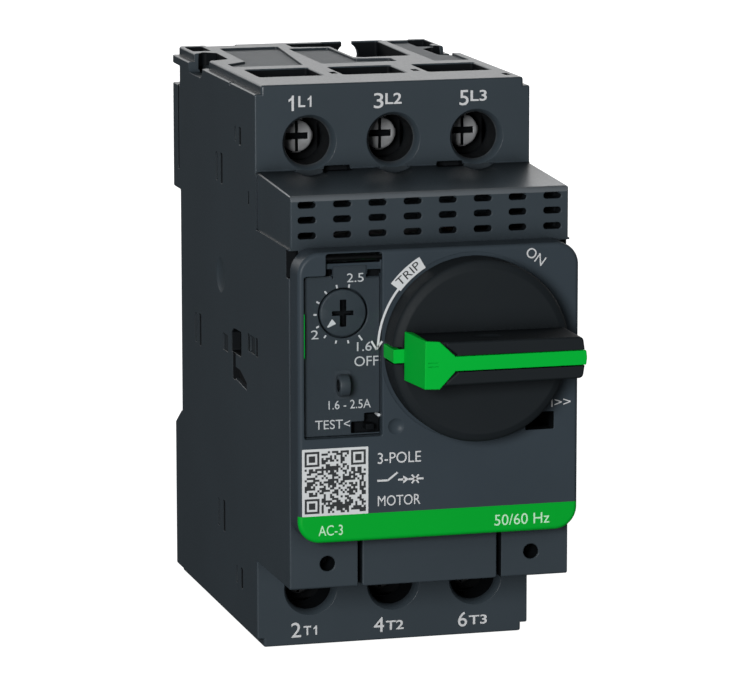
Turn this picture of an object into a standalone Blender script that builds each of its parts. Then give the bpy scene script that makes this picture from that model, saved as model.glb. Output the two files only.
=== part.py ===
"""Three-pole motor protection breaker with a rotary knob.

Frame: metres, +Z up, -Y is the front with the knob, +X is to the right seen from the front.
The origin is on the rail seat (the floor of the rail groove in the back), at mid height and
mid width. All the dimensions below are in millimetres.
"""
import math

import bpy
import bmesh
from mathutils import Vector

MM = 0.001
SIDES = (1, -1)          # mirrored features: right and left, or top and bottom

# ---- driving dimensions (mm) ----------------------------------------------------------
HALF_W = 22.2            # half width of the housing
SHOULDER_Z = 43.15       # height of the full-width shoulders
CROWN_Z = 44.5           # height of the raised top and bottom faces
CROWN_HALF_W = 21.15     # half width of the raised faces
BACK_Y = 5.0             # back pads
TERMINAL_Y = -51.5       # front faces of the terminal blocks
BODY_Y = -72.4           # front of the vent block and of the lower housing
COVER_Y = -77.5          # front of the front cover
KNOB_FACE_Y = -83.4      # front of the knob's disc
GRIP_Y = -92.0           # front of the knob's grip
VENT_TOP_Z = 30.14
LEDGE_Z = 31.1           # root of the sloping ledge above the vents
LOWER_Z = -30.5          # underside of the lower housing
WALL = 1.8
IN_X = HALF_W - WALL
BASE_HALF_W = 20.1
CHAMBER_Z = 42.4         # outer end of the terminal chambers
PASS = 0.5               # how far a cutter runs past the face it opens

COVER_HALF_W = 22.1      # front cover
COVER_HALF_H = 22.3
COVER_CORNER_R = 3.5
WINDOW_X = (-21.07, -9.1)        # window of the setting scale
WINDOW_Z = (-6.15, 18.66)
NECK_X = (-17.4, -9.3)           # neck above the window
NECK_TOP = 22.05
WINDOW_FLOOR_Y = -75.6
HINGE_Y, HINGE_Z, HINGE_R = -76.7, 21.2, 0.8
PORT_TOP_Z = -22.4               # opening below the front cover

PITCH = 13.5             # pole pitch
POLES = (-PITCH, 0.0, PITCH)
TERM_Z = 35.4            # height of the terminal screws above and below mid height
BORE_R = 3.6             # screwdriver bore
SINK_R = 4.2             # countersink of the bore
SCREW_R = 2.9
SHANK_R = 1.75
SHANK_HOLE_R = SHANK_R + 0.3
BOSS_X, BOSS_Z = 16.3, -26.7     # housing screws, either side of mid width

KNOB_X, KNOB_Z, KNOB_R = 5.0, 7.1, 13.9
RIM_R = KNOB_R - 1.6     # inside of the knob's rim
GRIP_HALF_H = 3.3
DIAL_X, DIAL_Z, DIAL_R = -14.82, 12.79, 3.7
CARRIER_Z = 11.0         # mid height of the contact carrier
COIL_Y = -35.0           # axis of the trip coils
TRIP_Y, TRIP_Z = -46.0, -5.0     # axis of the trip bar
CONTACT_BAR_Y = (-31.2, -30.0)   # fixed contact bars, front and back
CONTACT_BAR_HALF_W = 3.0
TIP_HALF_W = 1.7                 # contact tips
LOWER_TIP_Z = (2.7, 5.7)
UPPER_TIP_Z = (16.3, 19.3)

RAIL_Z = 2.5             # centre line of the 35 mm rail
RAIL_TOP = RAIL_Z + 17.5
RAIL_BOTTOM = RAIL_Z - 17.5
SEAT_RAMP = [(0.0, -16.1), (0.6, -16.1), (4.8, -18.6), (BACK_Y, -18.8)]   # (y, z)
SLOT_Y, SLOT_Z = 0.1, 38.6       # floor and lower side of the slot across the back
NOTCH_X = (3.0, 12.0)            # notch at the top of the back
NOTCH_Y, NOTCH_Z = -19.0, 38.8
NOTCH_WALL = 1.2
NOTCH_GAP = 0.3                  # base plate to notch

# Points the moving pieces turn about or slide from
KNOB_AXIS = (KNOB_X, KNOB_FACE_Y, KNOB_Z)
FLAP_AXIS = (-13.0, HINGE_Y, HINGE_Z)
DIAL_AXIS = (DIAL_X, -75.0, DIAL_Z)
TEST_AXIS = (-10.6, -75.0, -4.9)
CARRIER_AXIS = (0, -22.0, CARRIER_Z)
LATCH_AXIS = (0, 2.6, -30.0)
SLIDER_AXIS = (0, -42.0, -9.0)
TRIP_AXIS = (0, TRIP_Y, TRIP_Z)

# name: (base colour, roughness, metallic, alpha)
FINISHES = {
    "housing": ((0.030, 0.036, 0.042), 0.45, 0.0, 1.0),
    "cover": ((0.032, 0.039, 0.046), 0.42, 0.0, 1.0),
    "scale": ((0.032, 0.038, 0.044), 0.5, 0.0, 1.0),
    "clear": ((0.62, 0.66, 0.68), 0.1, 0.0, 0.35),
    "dial": ((0.024, 0.030, 0.036), 0.4, 0.0, 1.0),
    "knob": ((0.012, 0.014, 0.016), 0.4, 0.0, 1.0),
    "green": ((0.006, 0.37, 0.036), 0.4, 0.0, 1.0),
    "steel": ((0.45, 0.46, 0.47), 0.35, 1.0, 1.0),
    "copper": ((0.62, 0.36, 0.20), 0.35, 1.0, 1.0),
    "brass": ((0.60, 0.45, 0.20), 0.35, 1.0, 1.0),
    "insulator": ((0.32, 0.30, 0.26), 0.6, 0.0, 1.0),
    "carrier": ((0.55, 0.53, 0.48), 0.5, 0.0, 1.0),
    "latch": ((0.020, 0.024, 0.028), 0.5, 0.0, 1.0),
}


# ---- shapes: each returns (vertices, faces) ---------------------------------------------
def box(left, right, front, back, bottom, top):
    """A box between pairs of x, y and z; mirrored callers may swap the ends of a pair."""
    verts = [(x, y, z) for x in (left, right) for y in (front, back) for z in (bottom, top)]
    faces = [(0, 1, 3, 2), (4, 6, 7, 5), (0, 4, 5, 1), (2, 3, 7, 6), (0, 2, 6, 4), (1, 5, 7, 3)]
    return verts, faces


def slab(x, half_w, front, back, bottom, top):
    """A box centred on x."""
    return box(x - half_w, x + half_w, front, back, bottom, top)


def block(x, z, half_w, half_h, front, back):
    """A box centred on x and z."""
    return slab(x, half_w, front, back, z - half_h, z + half_h)


def place(axis, across, along, station):
    """The point at a station on the axis; (across, along) are the other two coordinates in order."""
    if axis == "X":
        return (station, across, along)
    if axis == "Y":
        return (across, station, along)
    return (across, along, station)


def prism(axis, outline, start, end):
    """An outline in the plane across the axis, carried from start to end."""
    count = len(outline)
    verts = [place(axis, *point, station) for station in (start, end) for point in outline]
    faces = [tuple(range(count)), tuple(range(2 * count - 1, count - 1, -1))]
    faces += [(i, (i + 1) % count, count + (i + 1) % count, count + i) for i in range(count)]
    return verts, faces


def circle(across, along, radius, sides):
    angles = [2 * math.pi * i / sides for i in range(sides)]
    return [(across + radius * math.cos(angle), along + radius * math.sin(angle))
            for angle in angles]


def rod(axis, across, along, radius, start, end, sides):
    return prism(axis, circle(across, along, radius, sides), start, end)


def lathe(axis, across, along, profile, sides):
    """Turns a profile of (radius, station) about the axis.

    A profile that starts and ends at radius 0 closes on the axis; any other is joined end to start.
    """
    verts, faces, rings = [], [], []
    for radius, station in profile:
        if radius == 0:
            rings.append([len(verts)] * sides)
            verts.append(place(axis, across, along, station))
        else:
            rings.append(list(range(len(verts), len(verts) + sides)))
            verts += [place(axis, *point, station)
                      for point in circle(across, along, radius, sides)]
    closing = rings[:1] if profile[0][0] > 0 else []
    for ring, following in zip(rings, rings[1:] + closing):
        for i in range(sides):
            j = (i + 1) % sides
            # At a point on the axis two corners coincide, and the face becomes a triangle.
            corners = dict.fromkeys((ring[i], ring[j], following[j], following[i]))
            faces.append(tuple(corners))
    return verts, faces


def coil(axis, across, along, radius, wire_r, start, end, turns, per_turn, sides):
    """A round wire wound about the axis from start to end, with flat closed ends."""
    steps = turns * per_turn
    verts, faces = [], []
    for i in range(steps + 1):
        share = i / steps
        angle = 2 * math.pi * turns * share
        station = start + (end - start) * share
        for k in range(sides):
            around = 2 * math.pi * k / sides
            reach = radius + wire_r * math.cos(around)
            verts.append(place(axis, across + reach * math.cos(angle),
                               along + reach * math.sin(angle),
                               station + wire_r * math.sin(around)))
    for i in range(steps):
        for k in range(sides):
            near, beside = i * sides + k, i * sides + (k + 1) % sides
            faces.append((near, beside, beside + sides, near + sides))
    faces.append(tuple(range(sides)))
    faces.append(tuple(range(steps * sides + sides - 1, steps * sides - 1, -1)))
    return verts, faces


def rounded(left, right, bottom, top, radius, steps):
    """Outline of a rectangle with round corners, each in the given number of steps."""
    corners = ((right - radius, top - radius, 0), (left + radius, top - radius, 90),
               (left + radius, bottom + radius, 180), (right - radius, bottom + radius, 270))
    outline = []
    for x, z, first in corners:
        for i in range(steps + 1):
            angle = math.radians(first + 90 * i / steps)
            outline.append((x + radius * math.cos(angle), z + radius * math.sin(angle)))
    return outline


def cross_slots(x, z, reach, half_slot, front, back):
    """Two cuts, one after the other, for a crosshead."""
    return [[block(x, z, reach, half_slot, front, back)],
            [block(x, z, half_slot, reach, front, back)]]


# ---- objects ------------------------------------------------------------------------------
def bring(name, shapes, origin=(0, 0, 0)):
    """Makes one object of closed shapes, with its origin where the piece turns or slides."""
    bm = bmesh.new()
    for verts, faces in shapes:
        made = [bm.verts.new([(value - start) * MM for value, start in zip(point, origin)])
                for point in verts]
        for face in faces:
            bm.faces.new([made[i] for i in face])
    bmesh.ops.recalc_face_normals(bm, faces=bm.faces[:])
    mesh = bpy.data.meshes.new(name)
    bm.to_mesh(mesh)
    bm.free()
    obj = bpy.data.objects.new(name, mesh)
    bpy.context.scene.collection.objects.link(obj)
    obj.location = Vector(origin) * MM
    return obj


def combine(obj, label, shapes, operation):
    """Adds a boolean with a hidden helper, named after the object and the label."""
    helper = bring(f"{obj.name}-{label}", shapes)
    helper.hide_render = True
    helper.display_type = "WIRE"
    mod = obj.modifiers.new(operation.lower(), "BOOLEAN")
    mod.operation = operation
    mod.solver = "EXACT"
    mod.object = helper


def part(name, shape, finish, add=(), cut=(), origin=(0, 0, 0)):
    """A first shape, further shapes welded on, then cuts; each cut is a list of separate shapes."""
    obj = bring(name, [shape], origin)
    for i, extra in enumerate(add):
        combine(obj, f"add-{i}", [extra], "UNION")
    for i, group in enumerate(cut):
        combine(obj, f"cut-{i}", group, "DIFFERENCE")
    obj.data.materials.append(MATERIALS[finish])
    return obj


def hold(name, origin, pieces):
    """An empty on a joint's axis that carries the pieces which move with it."""
    empty = bpy.data.objects.new(name, None)
    bpy.context.scene.collection.objects.link(empty)
    empty.location = Vector(origin) * MM
    for piece in pieces:
        piece.location = piece.location - empty.location
        piece.parent = empty


def material(name, colour, roughness, metallic, alpha):
    mat = bpy.data.materials.new(name)
    mat.use_nodes = True
    inputs = mat.node_tree.nodes["Principled BSDF"].inputs
    inputs["Base Color"].default_value = (*colour, 1.0)
    inputs["Roughness"].default_value = roughness
    inputs["Metallic"].default_value = metallic
    inputs["Alpha"].default_value = alpha
    return mat


# ---- housing and base ---------------------------------------------------------------------
def build_housing():
    # (y, z), from the top of the back down and round by the front
    side_outline = [
        (BACK_Y, SHOULDER_Z), (BACK_Y, 41.75), (SLOT_Y, 41.75), (SLOT_Y, SLOT_Z),
        (BACK_Y, SLOT_Z), (BACK_Y, 21.2), (0.0, 21.2), *SEAT_RAMP,
        (BACK_Y, -SHOULDER_Z), (TERMINAL_Y, -SHOULDER_Z), (TERMINAL_Y, LOWER_Z),
        (BODY_Y, LOWER_Z), (BODY_Y, VENT_TOP_Z), (TERMINAL_Y, LEDGE_Z), (TERMINAL_Y, SHOULDER_Z),
    ]
    housing = bring("housing", [prism("X", side_outline, -HALF_W, HALF_W)])
    for i, side in enumerate(SIDES):
        crown = slab(0, CROWN_HALF_W, TERMINAL_Y, BACK_Y,
                     side * (SHOULDER_Z - 0.6), side * CROWN_Z)
        combine(housing, f"crown-{i}", [crown], "UNION")

    half_partition = 0.6
    partition_in = PITCH / 2 - half_partition
    partition_out = PITCH / 2 + half_partition
    chambers_x = ((-IN_X, -partition_out), (-partition_in, partition_in), (partition_out, IN_X))
    wells = [
        # middle and front of the hollow, then the seat of the base plate
        [slab(0, IN_X, -44.6, -2.2, -21.5, 21.5)],
        [slab(0, IN_X, BODY_Y + 2.0, -44.4, -28.6, 29.5)],
        [slab(0, IN_X, -2.4, BACK_Y + PASS, -CHAMBER_Z, CHAMBER_Z)],
        # terminal chambers, then the opening behind the front cover
        [box(left, right, -44.3, -2.3, side * 21.3, side * CHAMBER_Z)
         for side in SIDES for left, right in chambers_x],
        [slab(0, 19.6, BODY_Y - PASS, -70.2, -19.6, 19.6)],
    ]
    for i, group in enumerate(wells):
        combine(housing, f"well-{i}", group, "DIFFERENCE")
    bosses = [rod("Y", side * BOSS_X, BOSS_Z, 2.4, -70.6, -57.4, 16) for side in SIDES]
    combine(housing, "boss", bosses, "UNION")
    pocket = box(NOTCH_X[0] - NOTCH_WALL, NOTCH_X[1] + NOTCH_WALL,
                 NOTCH_Y - NOTCH_WALL, -2.4, 37.5, 43.0)
    combine(housing, "pocket", [pocket], "UNION")

    bore_profile = [(0, TERMINAL_Y - PASS), (SINK_R + 0.3, TERMINAL_Y - PASS),
                    (BORE_R, TERMINAL_Y + 1.0), (BORE_R, -44.0), (0, -44.0)]
    vent_x = [side * (2.77 + 5.53 * k) for k in range(4) for side in SIDES]
    side_recesses = (     # depth, front, back, bottom, top
        (0.9, -29.9, -24.8, 26.3, 31.1), (0.9, -30.3, -24.1, -30.3, -25.3),
        (2.4, -41.7, -35.1, 0.45, 3.3), (0.7, -14.2, -9.7, -2.6, 2.55))
    cuts = [
        # screwdriver bores
        [lathe("Y", x, side * TERM_Z, bore_profile, 24) for x in POLES for side in SIDES],
        # wire entries in the top and bottom
        [slab(x, 5.15, -41.0, -30.5, side * 42.0, side * (CROWN_Z + PASS))
         for x in POLES for side in SIDES],
        # vents
        [block(x, z, 1.36, 0.44, BODY_Y - PASS, BODY_Y + 2.5)
         for x in vent_x for z in (28.8, 26.5, 24.1)],
        [box(side * (HALF_W - depth), side * (HALF_W + PASS), *bounds)
         for side in SIDES for depth, *bounds in side_recesses],
        # notches in the top corners
        [box(side * 19.9, side * (HALF_W + PASS), -16.5, -8.0, 41.5, CROWN_Z + PASS)
         for side in SIDES],
        # port below the front cover
        [slab(0, 11.45, BODY_Y - PASS, -69.9, LOWER_Z - PASS, PORT_TOP_Z)],
        # screw head recesses, then screw holes
        [rod("Y", side * BOSS_X, BOSS_Z, 1.35, BODY_Y - PASS, -66.8, 16) for side in SIDES],
        [rod("Y", side * BOSS_X, BOSS_Z, 0.95, -67.2, -57.0, 16) for side in SIDES],
        # notch into the pocket, then the opening for the rail latch
        [box(*NOTCH_X, NOTCH_Y, BACK_Y + PASS, NOTCH_Z, CROWN_Z + PASS)],
        [slab(0, 8.4, 0.6, BACK_Y + PASS, -CROWN_Z - PASS, -42.0)],
    ]
    for i, group in enumerate(cuts):
        combine(housing, f"cut-{i}", group, "DIFFERENCE")
    housing.data.materials.append(MATERIALS["housing"])


def build_housing_screws():
    profile = [(0, -68.5), (1.2, -68.5), (1.2, -67.2), (0.7, -67.2), (0.7, -57.8), (0, -57.8)]
    for i, side in enumerate((-1, 1)):
        part(f"housing_screw_{i + 1}", lathe("Y", side * BOSS_X, BOSS_Z, profile, 12), "steel")


def build_base_plate():
    """Closes the back and carries the rail seat."""
    front, end_z = -2.0, 42.1
    outline = [           # (y, z), from the top front corner round by the back
        (front, end_z), (SLOT_Y, end_z), (SLOT_Y, SLOT_Z), (BACK_Y, SLOT_Z), (BACK_Y, 18.6),
        (1.4, 18.6), (1.4, RAIL_TOP + 0.3), (-0.4, RAIL_TOP + 0.3), (-0.4, 18.4), (0.0, 18.4),
        *SEAT_RAMP, (BACK_Y, -end_z), (front, -end_z),
    ]
    plate = part(
        "base_plate", prism("X", outline, -BASE_HALF_W, BASE_HALF_W), "housing",
        cut=[[slab(0, 8.4, -0.4, 3.0, -16.6, -13.2)],
             [slab(0, 10.0, 0.6, 2.6, -44.0, -15.4)],
             [slab(0, 8.3, 2.0, BACK_Y + PASS, -44.0, -15.4)],
             [box(NOTCH_X[0] - NOTCH_GAP, NOTCH_X[1] + NOTCH_GAP, -2.5, BACK_Y + PASS,
                  NOTCH_Z - NOTCH_GAP, 43.0)]])
    combine(plate, "post", [slab(0, 1.3, 0.3, 4.2, -37.5, -36.0)], "UNION")


def build_latch():
    """The rail latch, with its flanges, nose and spring slot, and its spring."""
    half_w, back = 8.0, 4.4
    latch = part(
        "din_latch", slab(0, half_w, 0.95, back, -44.3, RAIL_BOTTOM - 0.4), "latch",
        origin=LATCH_AXIS,
        add=[slab(0, 9.7, 0.95, 2.3, -38.5, -22.0),
             slab(0, half_w, 1.5, back, -15.6, RAIL_BOTTOM + 1.4)],
        cut=[[slab(0, 1.7, 0.0, 5.0, -41.4, -28.0)]])
    hold("latch_axis", LATCH_AXIS, [latch])
    part("latch_spring", coil("Z", *LATCH_AXIS[:2], radius=1.0, wire_r=0.2, start=-35.6,
                              end=-28.4, turns=6, per_turn=8, sides=4), "steel")


# ---- front --------------------------------------------------------------------------------
def build_front_cover():
    outline = rounded(-COVER_HALF_W, COVER_HALF_W, -COVER_HALF_H, COVER_HALF_H, COVER_CORNER_R, 5)
    front = COVER_Y - PASS
    through = (front, -74.0)
    part("front_cover", prism("Y", outline, COVER_Y, -72.7), "cover",
         cut=[[slab(0, 20.3, -74.9, -72.0, -20.5, 20.5)],       # hollow in the back
              [box(*WINDOW_X, front, WINDOW_FLOOR_Y, *WINDOW_Z)],
              [box(*NECK_X, front, WINDOW_FLOOR_Y, WINDOW_Z[1] - PASS, NECK_TOP)],
              # shaft, dial, test slider, and a slot below the knob at the right
              [rod("Y", KNOB_X, KNOB_Z, 5.2, *through, 32),
               rod("Y", DIAL_X, DIAL_Z, 4.2, *through, 24),
               box(-13.9, -9.4, *through, -5.9, -2.3),
               box(13.0, 17.3, *through, -6.5, -4.45)],
              [rod("X", HINGE_Y, HINGE_Z, 0.55, -18.2, -8.4, 12)]])


def build_port_cover():
    part("aux_port_cover", slab(0, 10.75, BODY_Y, -70.3, LOWER_Z, PORT_TOP_Z - 0.25), "housing",
         add=[slab(0, 9.0, -70.6, -67.4, -27.6, -26.4)])


def build_scale_plate():
    """The plate on the window's floor, with a drilled lug that stands forward."""
    lug = prism("X", rounded(-79.4, -76.2, 0.35, 3.65, 1.5, 3), -16.0, -14.8)
    through = (-77.0, -75.0)
    part("scale_plate", box(-20.9, -9.3, -76.4, -75.85, -5.95, 18.45), "scale", add=[lug],
         cut=[[rod("Y", DIAL_X, DIAL_Z, 3.95, *through, 32),
               box(-13.6, -9.6, *through, -5.7, -4.1),
               box(-11.4, -9.6, *through, -3.9, -2.5)],
              [rod("X", -78.0, 2.0, 0.8, -17.0, -14.0, 12)],
              [box(-11.4, -9.6, *through, -4.2, -3.8)]])


def build_flap():
    """The clear flap over the setting scale, and its hinge pin."""
    hinge = (HINGE_Y, HINGE_Z)
    flap = part(
        "dial_cover", box(-20.85, -9.4, COVER_Y, -76.85, -5.85, 18.6), "clear", origin=FLAP_AXIS,
        add=[box(-17.1, -9.6, -77.2, -76.7, 18.0, 20.9),
             rod("X", *hinge, HINGE_R, -16.6, -9.6, 16)],
        cut=[[rod("X", *hinge, 0.5, -18.0, -8.0, 12),
              box(-16.5, -14.3, -78.0, -76.0, -0.3, 4.3)]])
    hold("flap_axis", FLAP_AXIS, [flap])
    part("flap_pin", rod("X", *hinge, 0.4, -18.0, -8.6, 12), "steel")


def build_dial():
    profile = [(0, -76.5), (DIAL_R, -76.5), (DIAL_R, -74.6), (5.0, -74.6), (5.0, -73.4),
               (2.0, -73.4), (2.0, -66.0), (0, -66.0)]
    dial = part("setting_dial", lathe("Y", DIAL_X, DIAL_Z, profile, 28), "dial",
                origin=DIAL_AXIS, cut=cross_slots(DIAL_X, DIAL_Z, 2.7, 0.4, -77.0, -75.5))
    hold("dial_axis", DIAL_AXIS, [dial])


def build_test_slider():
    """A front tip, a flange behind the cover and a stem."""
    test = part("test_slider", box(-11.3, -10.0, -76.5, -74.0, -5.3, -4.4), "dial",
                origin=TEST_AXIS,
                add=[box(-12.6, -8.8, -74.6, -73.3, -6.6, -3.2),
                     box(-11.4, -10.0, -73.5, -66.0, -5.6, -4.2)])
    hold("test_axis", TEST_AXIS, [test])


# ---- knob ---------------------------------------------------------------------------------
def at_knob_height(outline):
    return [(x, z + KNOB_Z) for x, z in outline]


def build_knob():
    back, web_y = -78.0, -81.6
    profile = [(0, KNOB_FACE_Y), (KNOB_R - 0.4, KNOB_FACE_Y), (KNOB_R, KNOB_FACE_Y + 0.5),
               (KNOB_R, back), (RIM_R, back), (RIM_R, web_y), (4.4, web_y), (4.4, -78.2),
               (0, -78.2)]
    # (x, z from the knob's axis); the left end is notched for the slide's head
    grip = at_knob_height([
        (-3.6, -GRIP_HALF_H), (17.9, -GRIP_HALF_H + 0.1), (18.25, -1.6), (18.35, 0.0),
        (18.25, 1.6), (17.9, GRIP_HALF_H - 0.1), (-3.6, GRIP_HALF_H), (-1.2, 1.45),
        (-1.2, -1.45)])
    return part(
        "knob", lathe("Y", KNOB_X, KNOB_Z, profile, 48), "knob", origin=KNOB_AXIS,
        add=[prism("Y", grip, GRIP_Y, KNOB_FACE_Y + 0.4)],
        # shaft socket, groove along the grip, slide's channel, pointer's slot
        cut=[[block(KNOB_X, KNOB_Z, 2.3, 2.3, -82.6, -77.0)],
             [box(-5.0, 19.0, GRIP_Y - PASS, -89.5, KNOB_Z - 1.35, KNOB_Z + 1.35)],
             [box(-5.0, 8.2, -90.2, -84.4, KNOB_Z - 2.3, KNOB_Z + 2.3)],
             [box(-9.8, -7.55, -84.5, -77.0, KNOB_Z - 1.3, KNOB_Z + 1.3)]])


def build_pointer():
    return part("knob_pointer", box(-8.95, -7.85, -83.7, -78.1, KNOB_Z - 1.05, KNOB_Z + 1.05),
                "green", origin=KNOB_AXIS)


def build_padlock_slide():
    foot_y = -83.75
    head = at_knob_height([(-6.6, -3.7), (-4.0, -3.7), (-1.55, -1.1), (-1.55, 1.1),
                           (-4.0, 3.7), (-6.6, 3.7)])
    flare = [(-6.6, GRIP_Y), (-5.5, -88.0), (-5.5, foot_y), (-7.4, foot_y)]      # (x, y)
    return part(
        "padlock_slide", prism("Y", head, GRIP_Y, foot_y), "green", origin=KNOB_AXIS,
        add=[prism("Z", flare, KNOB_Z - 3.6, KNOB_Z + 3.6),
             box(-4.5, 7.9, -89.95, -84.7, KNOB_Z - 1.05, KNOB_Z + 1.05),
             box(-1.4, 7.9, -89.9, -84.7, KNOB_Z - 2.0, KNOB_Z + 2.0),
             box(-3.0, 18.1, GRIP_Y, -89.75, KNOB_Z - 1.1, KNOB_Z + 1.1)],
        cut=[[rod("Z", 1.2, -87.3, 2.0, KNOB_Z - 3.0, KNOB_Z + 3.0, 20)]])


def build_shaft():
    """Round shaft with a collar, a square front end for the knob and a crank pin at the back."""
    profile = [(0, -75.5), (3.0, -75.5), (3.0, -60.5), (5.5, -60.5), (5.5, -56.0),
               (3.0, -56.0), (3.0, -52.0), (0, -52.0)]
    return part(
        "drive_shaft", lathe("Y", KNOB_X, KNOB_Z, profile, 20), "steel", origin=KNOB_AXIS,
        add=[block(KNOB_X, KNOB_Z, 2.0, 2.0, -82.3, -75.0),
             box(KNOB_X + 3.2, KNOB_X + 5.0, -56.4, -53.0, KNOB_Z - 1.1, KNOB_Z + 1.1)])


# ---- mechanism ----------------------------------------------------------------------------
def build_frame():
    """A back plate with two cheeks that run forward, and the bearing plate before them."""
    half_w, bottom = 12.0, 0.3
    holes = (-39.0, -35.0)
    part("mechanism_frame", slab(0, half_w, -37.8, -36.6, bottom, 20.0), "steel",
         add=[box(side * half_w, side * 10.9, -64.4, -37.2, bottom, 15.0) for side in (-1, 1)],
         cut=[[box(3.1, 5.7, *holes, 8.5, 13.5), box(-5.7, -3.1, *holes, 8.5, 13.5),
               rod("Y", 0.0, 16.8, 1.6, *holes, 16)]])
    holes = (-67.0, -64.0)
    part("bearing_plate", slab(0, 13.0, -66.0, -64.8, -1.5, 18.5), "steel",
         cut=[[rod("Y", KNOB_X, KNOB_Z, 3.3, *holes, 24)]
              + [rod("Y", -7.5, z, 1.4, *holes, 12) for z in (14.5, 2.5)]])


def build_carrier():
    """The beam and front yoke that carry the three contact bridges, and the springs."""
    arm_z = (CARRIER_Z - 2.0, CARRIER_Z + 2.0)
    carrier = part(
        "contact_carrier", block(0, CARRIER_Z, 18.6, 2.3, -24.3, -19.5), "carrier",
        origin=CARRIER_AXIS,
        add=[box(side * 3.6, side * 5.2, -46.0, -24.0, *arm_z) for side in SIDES]
        + [slab(0, 5.2, -46.0, -44.5, *arm_z)])
    bridges = [
        part(f"moving_bridge_{i + 1}", slab(x, 2.2, -25.8, -24.7, 2.4, 19.6), "copper",
             origin=CARRIER_AXIS,
             add=[slab(x, TIP_HALF_W, -26.6, -25.6, *tip_z)
                  for tip_z in (LOWER_TIP_Z, UPPER_TIP_Z)])
        for i, x in enumerate(POLES)]
    hold("carrier_axis", CARRIER_AXIS, [carrier] + bridges)
    for i, side in enumerate((-1, 1)):
        spring = coil("Y", side * 7.8, CARRIER_Z, radius=1.8, wire_r=0.3, start=-36.2,
                      end=-24.8, turns=5, per_turn=10, sides=4)
        part(f"opening_spring_{i + 1}", spring, "steel")


def build_trip_slider():
    slider = part("trip_slider", box(-18.6, 17.0, -43.8, -40.6, -9.6, -8.2), "carrier",
                  origin=SLIDER_AXIS,
                  add=[box(x + 0.9, x + 1.7, -43.8, -40.6, -12.6, -9.4) for x in POLES])
    hold("slider_axis", SLIDER_AXIS, [slider])


def build_trip_bar():
    """A round bar with one L-shaped arm per pole."""
    trip_bar = part(
        "trip_bar", rod("X", TRIP_Y, TRIP_Z, 1.4, -18.8, 18.8, 16), "carrier", origin=TRIP_AXIS,
        add=[slab(x, 2.0, -46.6, -34.0, -3.4, -2.4) for x in POLES]
        + [slab(x, 2.0, -46.6, -45.4, -5.0, -3.0) for x in POLES])
    hold("trip_bar_axis", TRIP_AXIS, [trip_bar])


# ---- pieces of one pole -------------------------------------------------------------------
def build_fixed_contacts(number, x):
    def bar(bottom, top):
        return slab(x, CONTACT_BAR_HALF_W, *CONTACT_BAR_Y, bottom, top)

    def tip(tip_z):
        return slab(x, TIP_HALF_W, -30.3, -29.2, *tip_z)

    def screw_hole(z):
        return [rod("Y", x, z, SHANK_HOLE_R, -32.0, -29.0, 16)]

    part(f"line_contact_{number}", bar(16.0, 41.5), "copper",
         add=[tip(UPPER_TIP_Z)], cut=[screw_hole(TERM_Z)])
    part(f"load_contact_{number}", bar(-4.0, 6.2), "copper", add=[tip(LOWER_TIP_Z)])
    part(f"load_terminal_{number}", bar(-41.5, -27.0), "copper",
         add=[slab(x, CONTACT_BAR_HALF_W, -44.0, -31.0, -28.2, -27.0)],
         cut=[screw_hole(-TERM_Z)])


def build_arc_chute(number, x):
    """A comb whose plates reach forward from a spine, with a gap at the contact carrier."""
    spine_back, spine_front, plate_front = -4.0, -5.0, -22.0
    bottom, top = -12.0, 36.0
    comb = [(spine_back, top), (spine_back, bottom)]       # (y, z)
    z = bottom
    while z < 35.5:
        comb += [(plate_front, z), (plate_front, z + 0.9), (spine_front, z + 0.9)]
        z += 2.4
        if 5.0 < z < 15.5:
            z = 15.6
        if z < 35.5:
            comb.append((spine_front, z))
    comb.append((spine_front, top))
    part(f"arc_chute_{number}", prism("X", comb, x - 5.2, x + 5.2), "insulator")


def build_trip_coil(number, x):
    """The flanged coil, its plunger and the bimetal strip before it."""
    winding = [(2.5, -20.0), (5.0, -20.0), (5.0, -19.0), (4.4, -19.0), (4.4, -8.0),
               (5.0, -8.0), (5.0, -7.0), (2.5, -7.0)]
    plunger = [(0, -18.5), (2.1, -18.5), (2.1, -8.5), (0.9, -8.0), (0.9, -5.5), (0, -5.5)]
    part(f"trip_coil_{number}", lathe("Z", x, COIL_Y, winding, 20), "copper")
    part(f"trip_plunger_{number}", lathe("Z", x, COIL_Y, plunger, 16), "steel",
         origin=(x, COIL_Y, -12.0))
    part(f"bimetal_{number}", slab(x, 0.4, -44.0, -40.4, -26.7, -11.0), "brass")


def build_terminal(where, number, x, z):
    """A clamp plate with two ribs on its back, and its crosshead screw."""
    axis = (x, -40.0, z)
    clamp = part(
        f"{where}_clamp_{number}", block(x, z, 4.2, 4.2, -40.7, -39.4), "steel", origin=axis,
        add=[slab(x, 4.2, -39.6, -38.6, z - 3.2, z - 2.6),
             slab(x, 4.2, -39.6, -38.6, z + 2.6, z + 3.2)],
        cut=[[rod("Y", x, z, SHANK_HOLE_R, -41.0, -38.0, 16)]])
    profile = [(0, -43.5), (2.5, -43.5), (SCREW_R, -43.0), (SCREW_R, -41.0),
               (SHANK_R, -41.0), (SHANK_R, -27.0), (0, -27.0)]
    screw = part(f"{where}_screw_{number}", lathe("Y", x, z, profile, 20), "steel",
                 origin=(x, -42.0, z), cut=cross_slots(x, z, 2.1, 0.35, -44.0, -42.5))
    hold(f"{where}_{number}_axis", axis, [clamp, screw])


# ---- assembly -----------------------------------------------------------------------------
for old in list(bpy.data.objects):
    bpy.data.objects.remove(old, do_unlink=True)

MATERIALS = {name: material(name, *finish) for name, finish in FINISHES.items()}

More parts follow.
